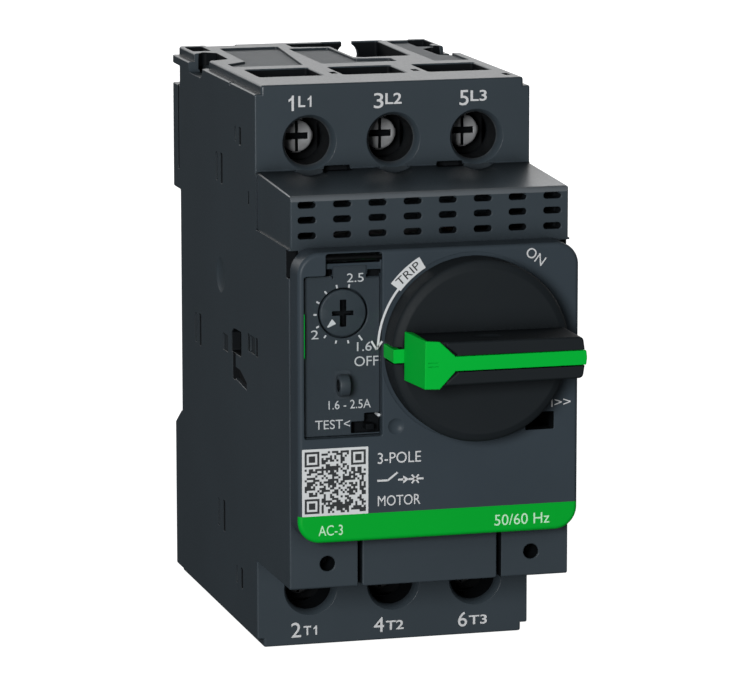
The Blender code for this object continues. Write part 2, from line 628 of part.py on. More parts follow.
build_housing()
build_housing_screws()
build_base_plate()
build_latch()
build_front_cover()
build_port_cover()
build_scale_plate()
build_flap()
build_dial()
build_test_slider()
hold("knob_axis", KNOB_AXIS,
     [build_knob(), build_pointer(), build_padlock_slide(), build_shaft()])
build_frame()
build_carrier()
build_trip_slider()
build_trip_bar()
for pole, pole_x in enumerate(POLES, start=1):
    build_fixed_contacts(pole, pole_x)
    build_arc_chute(pole, pole_x)
    build_trip_coil(pole, pole_x)
    build_terminal("line", pole, pole_x, TERM_Z)
    build_terminal("load", pole, pole_x, -TERM_Z)

for obj in bpy.data.objects:
    if obj.type == "MESH" and not obj.hide_render:
        obj.data.shade_smooth()
        obj.data.set_sharp_from_angle(angle=math.radians(32))
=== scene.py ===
"""Looks of a three-pole motor protection breaker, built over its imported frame.

Lengths are in millimetres. X runs left to right, the front with the knob faces -Y, the rail side
faces +Y, and +Z is up: line terminals at the top, load terminals at the bottom.
"""
import math
import random

import bmesh
import bpy
from mathutils import Matrix, Vector

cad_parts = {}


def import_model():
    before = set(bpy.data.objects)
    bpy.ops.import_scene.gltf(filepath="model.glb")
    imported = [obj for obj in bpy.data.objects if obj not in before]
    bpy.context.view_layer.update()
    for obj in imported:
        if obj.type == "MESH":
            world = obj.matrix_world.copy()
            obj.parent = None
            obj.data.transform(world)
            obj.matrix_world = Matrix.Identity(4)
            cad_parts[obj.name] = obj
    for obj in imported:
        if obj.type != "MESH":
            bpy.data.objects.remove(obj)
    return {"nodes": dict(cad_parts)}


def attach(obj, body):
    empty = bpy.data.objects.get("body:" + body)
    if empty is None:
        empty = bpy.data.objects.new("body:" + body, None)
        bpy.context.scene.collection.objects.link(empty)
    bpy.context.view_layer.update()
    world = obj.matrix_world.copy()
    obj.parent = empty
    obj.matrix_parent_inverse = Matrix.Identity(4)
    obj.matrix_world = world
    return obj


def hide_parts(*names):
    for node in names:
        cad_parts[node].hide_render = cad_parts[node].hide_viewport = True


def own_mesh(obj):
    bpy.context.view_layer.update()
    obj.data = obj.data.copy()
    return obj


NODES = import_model()["nodes"]
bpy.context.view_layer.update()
MM = 0.001

# Housing: half widths, heights of its shoulders and crowns, and the depths of its faces
HALF_WIDTH, SHOULDER_Z = 22.2, 43.15
CROWN_HALF_WIDTH, CROWN_Z = 21.15, 44.5
BACK_Y, TERMINAL_Y, BODY_Y, COVER_Y = 5.0, -51.5, -72.4, -77.5
VENT_TOP_Z, LEDGE_Z, LOWER_Z = 30.14, 31.1, -30.5
INNER_X = 20.4
RAIL_TOP, RAIL_BOTTOM = 20.0, -15.0
FIXING_X, FIXING_Z = 16.3, -26.7
# Front cover and what sits in it
COVER_X, COVER_Z, COVER_RADIUS = 22.1, 22.3, 3.5
PLATE_Y = -76.4
DIAL_X, DIAL_Z, DIAL_FACE_Y = -14.82, 12.79, -76.5
HINGE_Y, HINGE_Z = -76.7, 21.2
KNOB_X, KNOB_Z, KNOB_RADIUS = 5.0, 7.1, 13.9
KNOB_FACE_Y, GRIP_Y, GRIP_HALF = -83.4, -92.0, 3.3
# Terminals
POLES = (-13.5, 0.0, 13.5)
TERMINAL_Z, SHANK_RADIUS = 35.4, 1.75
# Print stands proud of its face by INK and reaches into it by INK_ROOT
INK, INK_ROOT = 0.03, 0.01
OVERCUT = 0.6  # how far a cutter starts outside the face it opens
SIDES = (1, -1)


# ---- shapes: each is a list of points and a list of faces -------------------------------------
def place(axis, across, up, along):
    """The point of an outline that lies square to the axis, at a distance along it."""
    if axis == "X":
        return (along, across, up)
    if axis == "Y":
        return (across, along, up)
    return (across, up, along)


def box(x_low, x_high, y_low, y_high, z_low, z_high):
    points = [(x, y, z) for x in (x_low, x_high) for y in (y_low, y_high) for z in (z_low, z_high)]
    return points, [(0, 1, 3, 2), (4, 6, 7, 5), (0, 4, 5, 1), (2, 3, 7, 6), (0, 2, 6, 4),
                    (1, 5, 7, 3)]


def rect(left, right, low, high):
    return [(left, low), (right, low), (right, high), (left, high)]


def circle(across, up, radius, count):
    angles = [2 * math.pi * i / count for i in range(count)]
    return [(across + radius * math.cos(a), up + radius * math.sin(a)) for a in angles]


def soften(outline, radius, steps=3):
    """Rounds the corners of an outline; a point may carry its own radius as a third number."""
    points = []
    for i, point in enumerate(outline):
        wanted = point[2] if len(point) > 2 else radius
        corner = Vector(point[:2])
        to_last = Vector(outline[i - 1][:2]) - corner
        to_next = Vector(outline[(i + 1) % len(outline)][:2]) - corner
        last_length, next_length = to_last.length, to_next.length
        to_last, to_next = to_last / last_length, to_next / next_length
        angle = math.acos(max(-1.0, min(1.0, to_last.dot(to_next))))
        if wanted <= 0 or angle > math.radians(176):
            points.append((corner.x, corner.y))
            continue
        reach = min(wanted / math.tan(angle / 2), 0.48 * min(last_length, next_length))
        fitted = reach * math.tan(angle / 2)
        centre = corner + (to_last + to_next).normalized() * (fitted / math.sin(angle / 2))
        start, end = corner + to_last * reach - centre, corner + to_next * reach - centre
        sweep = math.atan2(start.x * end.y - start.y * end.x, start.dot(end))
        for k in range(steps + 1):
            cos, sin = math.cos(sweep * k / steps), math.sin(sweep * k / steps)
            points.append((centre.x + start.x * cos - start.y * sin,
                           centre.y + start.x * sin + start.y * cos))
    return points


def rounded(left, right, low, high, radius, steps=3):
    return soften(rect(left, right, low, high), radius, steps)


def inset(outline, distance):
    """Moves every edge of an outline inwards; a negative distance moves it outwards."""
    if abs(distance) < 1e-9:
        return list(outline)
    area = sum(outline[i - 1][0] * point[1] - point[0] * outline[i - 1][1]
               for i, point in enumerate(outline))
    inward = 1.0 if area > 0 else -1.0
    moved = []
    for i, point in enumerate(outline):
        last, following = outline[i - 1], outline[(i + 1) % len(outline)]
        edge_in = Vector((point[0] - last[0], point[1] - last[1])).normalized()
        edge_out = Vector((following[0] - point[0], following[1] - point[1])).normalized()
        normal_in = Vector((-edge_in.y, edge_in.x)) * inward
        normal_out = Vector((-edge_out.y, edge_out.x)) * inward
        share = max(0.35, 1 + normal_in.dot(normal_out))
        moved.append((point[0] + (normal_in.x + normal_out.x) / share * distance,
                      point[1] + (normal_in.y + normal_out.y) / share * distance))
    return moved


def loft(axis, sections):
    """Outlines with equal counts of points, joined one after another and closed at both ends."""
    count = len(sections[0][0])
    points = [place(axis, p[0], p[1], along) for outline, along in sections for p in outline]
    faces = [tuple(range(count))]
    for k in range(len(sections) - 1):
        near, far = k * count, (k + 1) * count
        faces += [(near + i, near + (i + 1) % count, far + (i + 1) % count, far + i)
                  for i in range(count)]
    last = (len(sections) - 1) * count
    faces.append(tuple(range(last + count - 1, last - 1, -1)))
    return points, faces


def prism(axis, outline, start, end):
    return loft(axis, [(outline, start), (outline, end)])


def slab(axis, outline, start, end, start_round, end_round, steps=3):
    """A prism with the edges at both ends rounded, each by its own radius."""
    def rim(along, inward, radius):
        if radius <= 0:
            return [(outline, along)]
        turns = [math.pi / 2 * k / steps for k in range(steps + 1)]
        return [(inset(outline, radius * (1 - math.sin(turn))),
                 along + inward * radius * (1 - math.cos(turn))) for turn in turns]

    way = 1.0 if end > start else -1.0
    return loft(axis, rim(start, way, start_round) + rim(end, -way, end_round)[::-1])


def brick(x_low, x_high, y_low, y_high, z_low, z_high, edge):
    """A box along Y with rounded edges."""
    outline = rounded(x_low, x_high, z_low, z_high, edge * 1.2)
    return slab("Y", outline, y_low, y_high, edge, edge)


def pocket(axis, outline, face, floor, flare, out=OVERCUT):
    """A cutter that opens a face with a slightly flared mouth and ends at the floor."""
    way = 1.0 if floor > face else -1.0
    mouth = inset(outline, -flare)
    return loft(axis, [(mouth, face - way * out), (mouth, face - way * 0.004),
                       (inset(outline, -flare * 0.35), face + way * flare * 0.45),
                       (outline, face + way * flare), (outline, floor)])


def rod(axis, across, up, radius, start, end, count=32):
    return prism(axis, circle(across, up, radius, count), start, end)


def lathe(axis, across, up, profile, count):
    """Turns a profile of (radius, place along the axis); one that starts off the axis is a ring."""
    points, faces, rows = [], [], []
    for radius, along in profile:
        if radius < 1e-6:
            rows.append([len(points)] * count)
            points.append(place(axis, across, up, along))
        else:
            rows.append(list(range(len(points), len(points) + count)))
            points += [place(axis, p[0], p[1], along) for p in circle(across, up, radius, count)]
    following = rows[1:] + rows[:1] if profile[0][0] > 1e-6 else rows[1:]
    for near, far in zip(rows, following):
        for i in range(count):
            j = (i + 1) % count
            face = tuple(dict.fromkeys((near[i], near[j], far[j], far[i])))
            if len(face) > 2:
                faces.append(face)
    return points, faces


def coil(axis, across, up, radius, wire, start, end, turns, per_turn, sides=8):
    """A round wire wound about the axis."""
    steps = int(turns * per_turn)
    points, faces = [], []
    for i in range(steps + 1):
        share = i / steps
        angle = 2 * math.pi * turns * share
        along = start + (end - start) * share
        for k in range(sides):
            around = 2 * math.pi * k / sides
            reach = radius + wire * math.cos(around)
            points.append(place(axis, across + reach * math.cos(angle),
                                up + reach * math.sin(angle), along + wire * math.sin(around)))
    for i in range(steps):
        for k in range(sides):
            here, beside = i * sides + k, i * sides + (k + 1) % sides
            faces.append((here, beside, beside + sides, here + sides))
    faces.append(tuple(range(sides)))
    faces.append(tuple(range(steps * sides + sides - 1, steps * sides - 1, -1)))
    return points, faces


# ---- pieces -----------------------------------------------------------------------------------
def make(name, shapes):
    """One object from shapes in millimetres."""
    work = bmesh.new()
    for points, faces in shapes:
        made = [work.verts.new((p[0] * MM, p[1] * MM, p[2] * MM)) for p in points]
        for face in faces:
            work.faces.new([made[i] for i in face])
    bmesh.ops.recalc_face_normals(work, faces=work.faces[:])
    mesh = bpy.data.meshes.new(name)
    work.to_mesh(mesh)
    work.free()
    obj = bpy.data.objects.new(name, mesh)
    bpy.context.scene.collection.objects.link(obj)
    return obj


def baked_mesh(obj):
    bpy.context.view_layer.update()
    graph = bpy.context.evaluated_depsgraph_get()
    return bpy.data.meshes.new_from_object(obj.evaluated_get(graph))


def cut(obj, shapes, operation="DIFFERENCE"):
    tool = make("tool", shapes)
    mod = obj.modifiers.new("cut", "BOOLEAN")
    mod.operation, mod.solver, mod.object = operation, "EXACT", tool
    mesh = baked_mesh(obj)
    obj.modifiers.clear()
    old, obj.data = obj.data, mesh
    bpy.data.meshes.remove(old)
    bpy.data.objects.remove(tool, do_unlink=True)


def weld(obj, shapes):
    for shape in shapes:
        cut(obj, [shape], "UNION")


def done(obj, mat, body, part, wire=False):
    """Cleans and shades a piece, gives its finish, the body it rides on and the part it replaces."""
    work = bmesh.new()
    work.from_mesh(obj.data)
    bmesh.ops.remove_doubles(work, verts=work.verts[:], dist=2e-6)
    bmesh.ops.dissolve_degenerate(work, edges=work.edges[:], dist=1e-6)
    work.to_mesh(obj.data)
    work.free()
    obj.data.shade_smooth()
    obj.data.set_sharp_from_angle(angle=math.radians(60 if wire else 33))
    if not wire:
        mod = obj.modifiers.new("weighted", "WEIGHTED_NORMAL")
        mod.keep_sharp = True
        mod.weight = 60
    obj.data.materials.clear()
    obj.data.materials.append(mat)
    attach(obj, body)
    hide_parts(part)


def paint(obj, mat, regions):
    """Gives the faces whose middle lies in one of the regions another finish.

    A region is x low, x high, y low, y high, z low, z high.
    """
    obj.data.materials.append(mat)
    for face in obj.data.polygons:
        x, y, z = face.center / MM
        if any(r[0] < x < r[1] and r[2] < y < r[3] and r[4] < z < r[5] for r in regions):
            face.material_index = len(obj.data.materials) - 1


def twice(*regions):
    """The regions and their mirror images left to right."""
    return list(regions) + [(-r[1], -r[0]) + r[2:] for r in regions]


# ---- shader nodes -----------------------------------------------------------------------------
SPECULAR = "Specular IOR Level"
MIX_SOCKETS = {"FLOAT": (2, 3, 0), "RGBA": (6, 7, 2)}  # first input, second input, output


def feed(tree, socket, value):
    """Links an input to another node's output, or sets its value."""
    if isinstance(value, bpy.types.NodeSocket):
        tree.links.new(value, socket)
    else:
        socket.default_value = value


def add(tree, kind, **inputs):
    """A new node; inputs go by name, with underscores for spaces."""
    node = tree.nodes.new("ShaderNode" + kind)
    for key, value in inputs.items():
        feed(tree, node.inputs[key.replace("_", " ")], value)
    return node


def combine(tree, operation, first, second):
    node = add(tree, "Math")
    node.operation = operation
    feed(tree, node.inputs[0], first)
    feed(tree, node.inputs[1], second)
    return node.outputs[0]


def mix(tree, kind, factor, first, second):
    node = add(tree, "Mix")
    node.data_type = kind
    first_in, second_in, out = MIX_SOCKETS[kind]
    feed(tree, node.inputs[0], factor)
    feed(tree, node.inputs[first_in], first)
    feed(tree, node.inputs[second_in], second)
    return node.outputs[out]


def blend(tree, factor, first, second):
    """Mixes two colours, each a socket or three numbers."""
    first, second = [(*c, 1.0) if isinstance(c, tuple) else c for c in (first, second)]
    return mix(tree, "RGBA", factor, first, second)


def noise(tree, coord, scale, detail=2.0, rough=0.5):
    return add(tree, "TexNoise", Scale=scale, Detail=detail, Roughness=rough,
               Vector=coord).outputs["Fac"]


def ranged(tree, source, to=(0.0, 1.0), span=(0.3, 0.7)):
    """Maps the span of a value onto another range; the usual span is that of a noise."""
    return add(tree, "MapRange", From_Min=span[0], From_Max=span[1], To_Min=to[0], To_Max=to[1],
               Value=source).outputs["Result"]


def object_coord(tree):
    return add(tree, "TexCoord").outputs["Object"]


def scaled(colour, factor):
    return tuple(min(1.0, c * factor) for c in colour)


def mottled(tree, coord, colour, spread=0.05):
    """A colour that wanders slowly to both sides."""
    slow = noise(tree, coord, scale=55.0, detail=4.0, rough=0.55)
    return blend(tree, ranged(tree, slow), scaled(colour, 1 - spread), scaled(colour, 1 + spread))


def grained(tree, bsdf, coord, rough, grain=3200.0, strength=0.18, edge=0.1, wear=0.03):
    """Fine grain in roughness and relief, over edges that are rounded in shading only."""
    fine = noise(tree, coord, scale=grain, rough=0.6)
    feed(tree, bsdf.inputs["Roughness"], ranged(tree, fine, to=(rough - wear, rough + wear)))
    bump = add(tree, "Bump", Strength=strength, Distance=0.00002, Height=fine)
    if edge > 0:
        bevel = add(tree, "Bevel", Radius=edge * MM)
        bevel.samples = 4
        feed(tree, bump.inputs["Normal"], bevel.outputs["Normal"])
    feed(tree, bsdf.inputs["Normal"], bump.outputs["Normal"])


# ---- finishes ---------------------------------------------------------------------------------
def new_finish(name):
    mat = bpy.data.materials.new(name)
    mat.use_nodes = True
    return mat, mat.node_tree, mat.node_tree.nodes["Principled BSDF"]


def plastic(name, colour, rough, spread=0.05, spec=0.5, shaded=False, **grain):
    """Grained plastic; shaded darkens and dulls it in corners."""
    mat, tree, bsdf = new_finish(name)
    coord = object_coord(tree)
    base = mottled(tree, coord, colour, spread)
    bsdf.inputs[SPECULAR].default_value = spec
    if shaded:
        shade = add(tree, "AmbientOcclusion", Distance=0.004)
        shade.samples = 4
        open_air = ranged(tree, shade.outputs["AO"], span=(0.22, 0.85))
        base = blend(tree, open_air, scaled(colour, 0.12), base)
        gloss = ranged(tree, open_air, to=(0.1 * spec, spec), span=(0.0, 1.0))
        feed(tree, bsdf.inputs[SPECULAR], gloss)
    grained(tree, bsdf, coord, rough, **grain)
    feed(tree, bsdf.inputs["Base Color"], base)
    return mat


def ink(name, colour, spread, rough=0.55):
    return plastic(name, colour, rough, spread, grain=5000.0, strength=0.1, edge=0.0)


def metal(name, colour, rough, stretch=(1.0, 1.0, 1.0)):
    """Metal whose grain may be stretched along an axis."""
    mat, tree, bsdf = new_finish(name)
    coord = add(tree, "Mapping", Scale=stretch, Vector=object_coord(tree)).outputs["Vector"]
    feed(tree, bsdf.inputs["Base Color"], mottled(tree, coord, colour, spread=0.07))
    grained(tree, bsdf, coord, rough, grain=900.0, strength=0.25, edge=0.08, wear=0.07)
    bsdf.inputs["Metallic"].default_value = 1.0
    return mat


def cover_finish(name, colour, green):
    """The front cover's plastic, with a green band printed over the lowest part of the front."""
    mat, tree, bsdf = new_finish(name)
    coord = object_coord(tree)
    base = mottled(tree, coord, colour)
    grained(tree, bsdf, coord, rough=0.4)
    split = add(tree, "SeparateXYZ", Vector=coord)
    low = ranged(tree, split.outputs["Z"], to=(1.0, 0.0), span=(-18.04 * MM, -17.98 * MM))
    front = ranged(tree, split.outputs["Y"], to=(1.0, 0.0), span=(-76.9 * MM, -76.8 * MM))
    band = combine(tree, "MULTIPLY", low, front)
    tint = blend(tree, noise(tree, coord, scale=70.0, detail=3.0), scaled(green, 0.96), green)
    feed(tree, bsdf.inputs["Base Color"], blend(tree, band, base, tint))
    bsdf.inputs[SPECULAR].default_value = 0.12
    return mat


def ledge_painted_shade(name, colour):
    """The housing's plastic on the ledge with painted shade, darker and duller towards the terminal
    block, and a painted highlight, lighter towards the front edge.
    """
    mat, tree, bsdf = new_finish(name)
    coord = object_coord(tree)
    grained(tree, bsdf, coord, rough=0.36)
    split = add(tree, "SeparateXYZ", Vector=coord)
    depth = ranged(tree, split.outputs["Y"], to=(1.0, 0.0),
                   span=((BODY_Y + 0.4) * MM, TERMINAL_Y * MM))
    base = blend(tree, depth, scaled(colour, 0.2), scaled(colour, 1.45))
    feed(tree, bsdf.inputs["Base Color"], base)
    feed(tree, bsdf.inputs[SPECULAR], ranged(tree, depth, to=(0.08, 0.5), span=(0.0, 1.0)))
    return mat


def clear_finish(name):
    """Clear plastic: light passes straight through under a faint gloss."""
    mat, tree, bsdf = new_finish(name)
    tree.nodes.remove(bsdf)
    coord = object_coord(tree)
    tint = blend(tree, noise(tree, coord, scale=120.0), (0.955, 0.965, 0.97),
                 (0.98, 0.985, 0.988))
    clear = add(tree, "BsdfTransparent", Color=tint)
    rough = ranged(tree, noise(tree, coord, scale=500.0), to=(0.08, 0.14))
    gloss = add(tree, "BsdfGlossy", Roughness=rough)
    mirror = combine(tree, "MINIMUM", add(tree, "Fresnel", IOR=1.25).outputs["Fac"], 0.16)
    both = add(tree, "MixShader", Fac=mirror)
    feed(tree, both.inputs[1], clear.outputs["BSDF"])
    feed(tree, both.inputs[2], gloss.outputs["BSDF"])
    out = next(node for node in tree.nodes if node.type == "OUTPUT_MATERIAL")
    feed(tree, out.inputs["Surface"], both.outputs["Shader"])
    return mat


HOUSING_GREY, BASE_GREY = (0.032, 0.043, 0.052), (0.029, 0.039, 0.047)
# The housing plastic is shaded: painted shade darkens and dulls its corners and recesses
HOUSING = plastic("finish_housing", HOUSING_GREY, rough=0.36, spec=0.35, shaded=True)
# Near-black painted shade for slots, bores, deep pockets and the test lever, where the inside should
# read as shadow
SHADE_BLACK = plastic("finish_painted_shade_black", (0.004, 0.005, 0.006), rough=0.6, spec=0.06, edge=0.0)
# Dark grey painted shade for the side pockets and the ends of the scoops
RECESS_SHADE = plastic("finish_recess_painted_shade", (0.017, 0.022, 0.026), rough=0.55, spec=0.1, edge=0.0)
# Matte grained panels of the top, whose light grey is painted light standing in for the sheen of the
# top
PANEL_PAINTED_LIGHT = plastic("finish_panel_painted_light", (0.16, 0.173, 0.183), rough=0.62, grain=1500.0, strength=0.6,
                spread=0.1, edge=0.0, spec=0.18)
# Lighter grey painted highlight on the rounded top front edge of the vent block
BRIM_HIGHLIGHT = plastic("finish_brim_painted_highlight", (0.085, 0.097, 0.107), rough=0.36, spec=0.4)
# Ledge with painted shade towards the terminal block and a painted highlight towards its front edge
LEDGE_SHADE = ledge_painted_shade("finish_ledge_painted_shade", HOUSING_GREY)
SCREW = metal("finish_screw", (0.50, 0.51, 0.52), rough=0.62)
# Darker copy of the screw metal for the load screws: painted shade from the overhang above them
SCREW_SHADED = metal("finish_screw_painted_shade", (0.07, 0.072, 0.075), rough=0.62)
BASE = plastic("finish_base", BASE_GREY, rough=0.5, spec=0.35)
COVER = cover_finish("finish_cover", (0.032, 0.043, 0.053), green=(0.0, 0.32, 0.023))
SCALE = plastic("finish_scale", (0.028, 0.0375, 0.046), rough=0.5, spec=0.3)
DIAL = plastic("finish_dial", BASE_GREY, rough=0.45, spec=0.3)
# The knob plastic is shaded too: painted shade in its corners
KNOB = plastic("finish_knob", (0.0098, 0.0128, 0.0150), rough=0.6, spec=0.12, shaded=True)
GREEN = plastic("finish_green", (0.0, 0.375, 0.032), rough=0.5, spread=0.03, spec=0.07)
LATCH = plastic("finish_latch", (0.024, 0.029, 0.034), rough=0.48)
INSULATOR = plastic("finish_insulator", (0.34, 0.32, 0.28), rough=0.6, grain=1200.0,
                    strength=0.5, spread=0.12)
CARRIER = plastic("finish_carrier", (0.55, 0.53, 0.48), rough=0.5, grain=2000.0, strength=0.2)
PRINT = ink("finish_print", (0.51, 0.52, 0.53), spread=0.05)
PRINT_DARK = ink("finish_print_dark", (0.018, 0.021, 0.024), spread=0.1, rough=0.6)
PRINT_PALE = ink("finish_print_pale", (0.54, 0.56, 0.57), spread=0.03)
PRINT_ON_GREEN = ink("finish_print_on_green", (0.45, 0.72, 0.50), spread=0.04)
STEEL = metal("finish_steel", (0.62, 0.64, 0.66), rough=0.42)
STEEL_DULL = metal("finish_steel_dull", (0.40, 0.41, 0.42), rough=0.45, stretch=(1.0, 1.0, 0.15))
# Near-black steel as painted shade: the clamps and housing screws sit in holes that should read
# black; the hinge pin uses it too
STEEL_SHADE_DARK = metal("finish_steel_painted_shade", (0.012, 0.013, 0.014), rough=0.6)
COPPER = metal("finish_copper", (0.72, 0.40, 0.24), rough=0.34, stretch=(1.0, 1.0, 0.2))
BIMETAL = metal("finish_bimetal", (0.66, 0.53, 0.30), rough=0.36, stretch=(1.0, 1.0, 0.1))
CLEAR = clear_finish("finish_clear")

# ---- housing ----------------------------------------------------------------------------------
# Side view: y, z and, at some corners, their own radius
side_outline = soften([
    (BACK_Y, SHOULDER_Z), (BACK_Y, 41.75), (0.1, 41.75), (0.1, 38.6), (BACK_Y, 38.6),
    (BACK_Y, 21.2), (0.0, 21.2), (0.0, -16.1), (0.7, -16.1), (BACK_Y, -18.7),
    (BACK_Y, -SHOULDER_Z), (TERMINAL_Y, -SHOULDER_Z), (TERMINAL_Y, LOWER_Z, 0.25),
    (BODY_Y, LOWER_Z, 0.4), (BODY_Y, VENT_TOP_Z, 0.85), (TERMINAL_Y, LEDGE_Z, 0.25),
    (TERMINAL_Y, SHOULDER_Z)], 0.34, 4)
shell = make("housing_shell", [slab("X", side_outline, -HALF_WIDTH, HALF_WIDTH, 0.24, 0.24)])
crown = rounded(-CROWN_HALF_WIDTH, CROWN_HALF_WIDTH, TERMINAL_Y, BACK_Y, 0.45)
weld(shell, [slab("Z", crown, side * 41.9, side * CROWN_Z, 0, 0.36) for side in SIDES])

# The block with the vents stands back a little at both sides
cut(shell, [box(side * 21.92, side * 24.0, BODY_Y - 1, TERMINAL_Y - 0.4, 22.16, 32.0)
            for side in SIDES])
cut(shell, [loft("Y", [
    ([(side * 21.7, 31.14), (side * 22.6, 31.14), (side * 22.6, 30.24)], TERMINAL_Y - 0.05),
    ([(side * 21.7, 30.16), (side * 22.6, 30.16), (side * 22.6, 29.26)], BODY_Y - 1.0)])
    for side in SIDES])
cut(shell, [prism("Z", [(side * 21.74, BODY_Y - 0.02), (side * 21.74, BODY_Y - 0.5),
                        (side * 22.6, BODY_Y - 0.5), (side * 22.6, BODY_Y + 0.84)], 22.16, 31.5)
            for side in SIDES])

# Inner rooms: middle, front, rear, those behind the poles, and the opening behind the cover
for rooms in (
    [box(-INNER_X, INNER_X, -44.6, -2.2, -21.5, 21.5)],
    [box(-INNER_X, INNER_X, BODY_Y + 2.0, -44.4, -28.6, 29.5)],
    [box(-INNER_X, INNER_X, -2.4, BACK_Y + OVERCUT, -42.4, 42.4)],
    [box(left, right, -44.3, -2.3, side * 21.3, side * 42.4) for side in SIDES
     for left, right in ((-INNER_X, -7.35), (-6.15, 6.15), (7.35, INNER_X))],
    [box(-19.6, 19.6, BODY_Y - OVERCUT, -70.2, -19.6, 19.6)],
):
    cut(shell, rooms)
weld(shell, [rod("Y", side * FIXING_X, FIXING_Z, 2.4, -70.6, -57.4, 24) for side in SIDES])
weld(shell, [box(1.8, 13.2, -20.2, -2.4, 37.5, 43.0),
             box(1.9, 13.3, -2.6, BACK_Y - 0.1, 37.7, 42.6)])

# Bores over the terminal screws: radius, depth behind the terminal face
bore_steps = [(4.75, -0.7), (4.35, -0.02), (4.12, 0.28), (3.9, 0.7), (3.76, 1.2), (3.7, 1.8),
              (3.7, 4.6)]
bore_profile = ([(0, TERMINAL_Y - 0.7)] + [(r, TERMINAL_Y + depth) for r, depth in bore_steps]
                + [(3.7, -44.0), (0, -44.0)])
cut(shell, [lathe("Y", x, side * TERMINAL_Z, bore_profile, 72) for x in POLES for side in SIDES])

# Scoops on the ledge and notches along its root
scoop_end = TERMINAL_Y - 0.03
cut(shell, [lathe("Y", x, TERMINAL_Z, [(0, -60.6), (4.2, -60.6), (4.95, -56.2), (5.2, scoop_end),
                                       (0, scoop_end)], 72) for x in POLES])
cut(shell, [prism("Y", [(side * 6.8, 30.62), (side * 11.4, 30.62), (side * 11.1, 31.7),
                        (side * 7.1, 31.7)], TERMINAL_Y - 1.6, -49.0) for side in SIDES])
cut(shell, [box(left, right, TERMINAL_Y - 0.02, -50.8, 31.0, 31.22)
            for left, right in ((-21.4, -15.6), (-11.4, -2.1), (2.1, 11.4), (15.6, 21.4))])

# Wire entries above and below, with narrow slots between them
for side in SIDES:
    face = side * CROWN_Z
    cut(shell, [pocket("Z", rounded(x - 5.15, x + 5.15, -41.0, -30.5, 0.5), face, side * 42.0, 0.2)
                for x in (-13.5, 0.1, 14.0)])
    cut(shell, [pocket("Z", rect(x - 0.5, x + 0.5, -39.3, -36.9), face, side * 43.4, 0.05)
                for x in (-6.1, 7.3)])


def crown_pocket(outline, depth, flare):
    return pocket("Z", outline, CROWN_Z, CROWN_Z - depth, flare)


# Top: recessed panels, a small slot, a deep well open to the back, and pockets near the back
panels = (
    [(-15.5, -0.5), (-5.6, -0.5), (-8.0, -26.5), (-19.4, -26.5), (-19.4, -22.5), (-15.8, -19.5)],
    [(-4.6, -3.9), (2.2, -3.9), (2.2, -20.3), (8.0, -21.2), (8.0, -25.2), (-4.6, -26.0)],
    rect(13.9, 19.7, -26.6, 2.4))
cut(shell, [crown_pocket(soften(panel, 0.5), 0.4, 0.1) for panel in panels])
cut(shell, [crown_pocket(rounded(19.2, 20.1, -48.3, -45.8, 0.15), 1.0, 0.05)])
well = [(2.8, -18.8, 1.6), (12.2, -18.2, 0.8), (12.6, 3.7, 0.5), (2.8, 3.7, 0.5)]
cut(shell, [pocket("Z", soften(well, 1.0, 6), CROWN_Z, 38.8, 0.2)])
cut(shell, [rod("Y", 7.5, 42.3, 1.85, 3.0, BACK_Y + OVERCUT, 48)])
cut(shell, [prism("Y", [(6.45, 43.2), (8.5, 43.2), (8.35, 45.5), (6.35, 45.5)],
                  2.9, BACK_Y + 2 * OVERCUT)])
cut(shell, [crown_pocket(soften([(-3.4, 2.9), (-3.4, -1.9), (3.4, -3.0), (3.4, 2.9)], 0.3),
                         1.9, 0.08)])
cut(shell, [crown_pocket(rounded(*spans, 0.25), 1.6, 0.08)
            for spans in ((-16.8, -11.6, 3.3, 6.5), (13.6, 18.3, 3.9, 6.5))])

# Recessed panels of the underside
cut(shell, [pocket("Z", rounded(*spans, 0.6), -CROWN_Z, -CROWN_Z + 0.7, 0.1) for spans in (
    (-19.6, -10.4, -26.0, 1.8), (-4.4, 4.4, -26.0, -6.0), (10.4, 19.6, -26.0, 1.8))])

# Notches along the side edges of the top
for side in SIDES:
    low = 41.5 if side < 0 else 42.1
    notch = [(-17.6, 46.0, 0), (-6.2, 46.0, 0), (-6.8, low, 0.8), (-15.8, low, 1.6)]
    cut(shell, [prism("X", soften(notch, 0.5, 6), side * 20.2, side * 24.0)])
    hollow = [(20.6, -17.2), (17.7, -15.6), (17.5, -6.9), (19.3, -5.0), (20.6, -6.6)]
    hollow = [(side * x, y) for x, y in hollow]
    cut(shell, [prism("Z", soften(hollow, 0.6, 4), 41.9, CROWN_Z + OVERCUT)])
    cut(shell, [pocket("X", rounded(-35.6, -34.7, 42.7, 44.2, 0.1),
                       side * HALF_WIDTH, side * 21.3, 0.05)])
    left, right = sorted((side * 17.6, side * 20.6))
    cut(shell, [crown_pocket(rounded(left, right, -3.4, 3.2, 0.3), 1.1, 0.08)])

# Vents: four columns each side of the middle, three rows
for column in range(4):
    for side in SIDES:
        x = side * (2.77 + 5.53 * column)
        cut(shell, [pocket("Y", rounded(x - 1.38, x + 1.38, z - 0.49, z + 0.49, 0.46, 5),
                           BODY_Y, BODY_Y + 2.6, 0.1) for z in (28.8, 26.5, 24.1)])

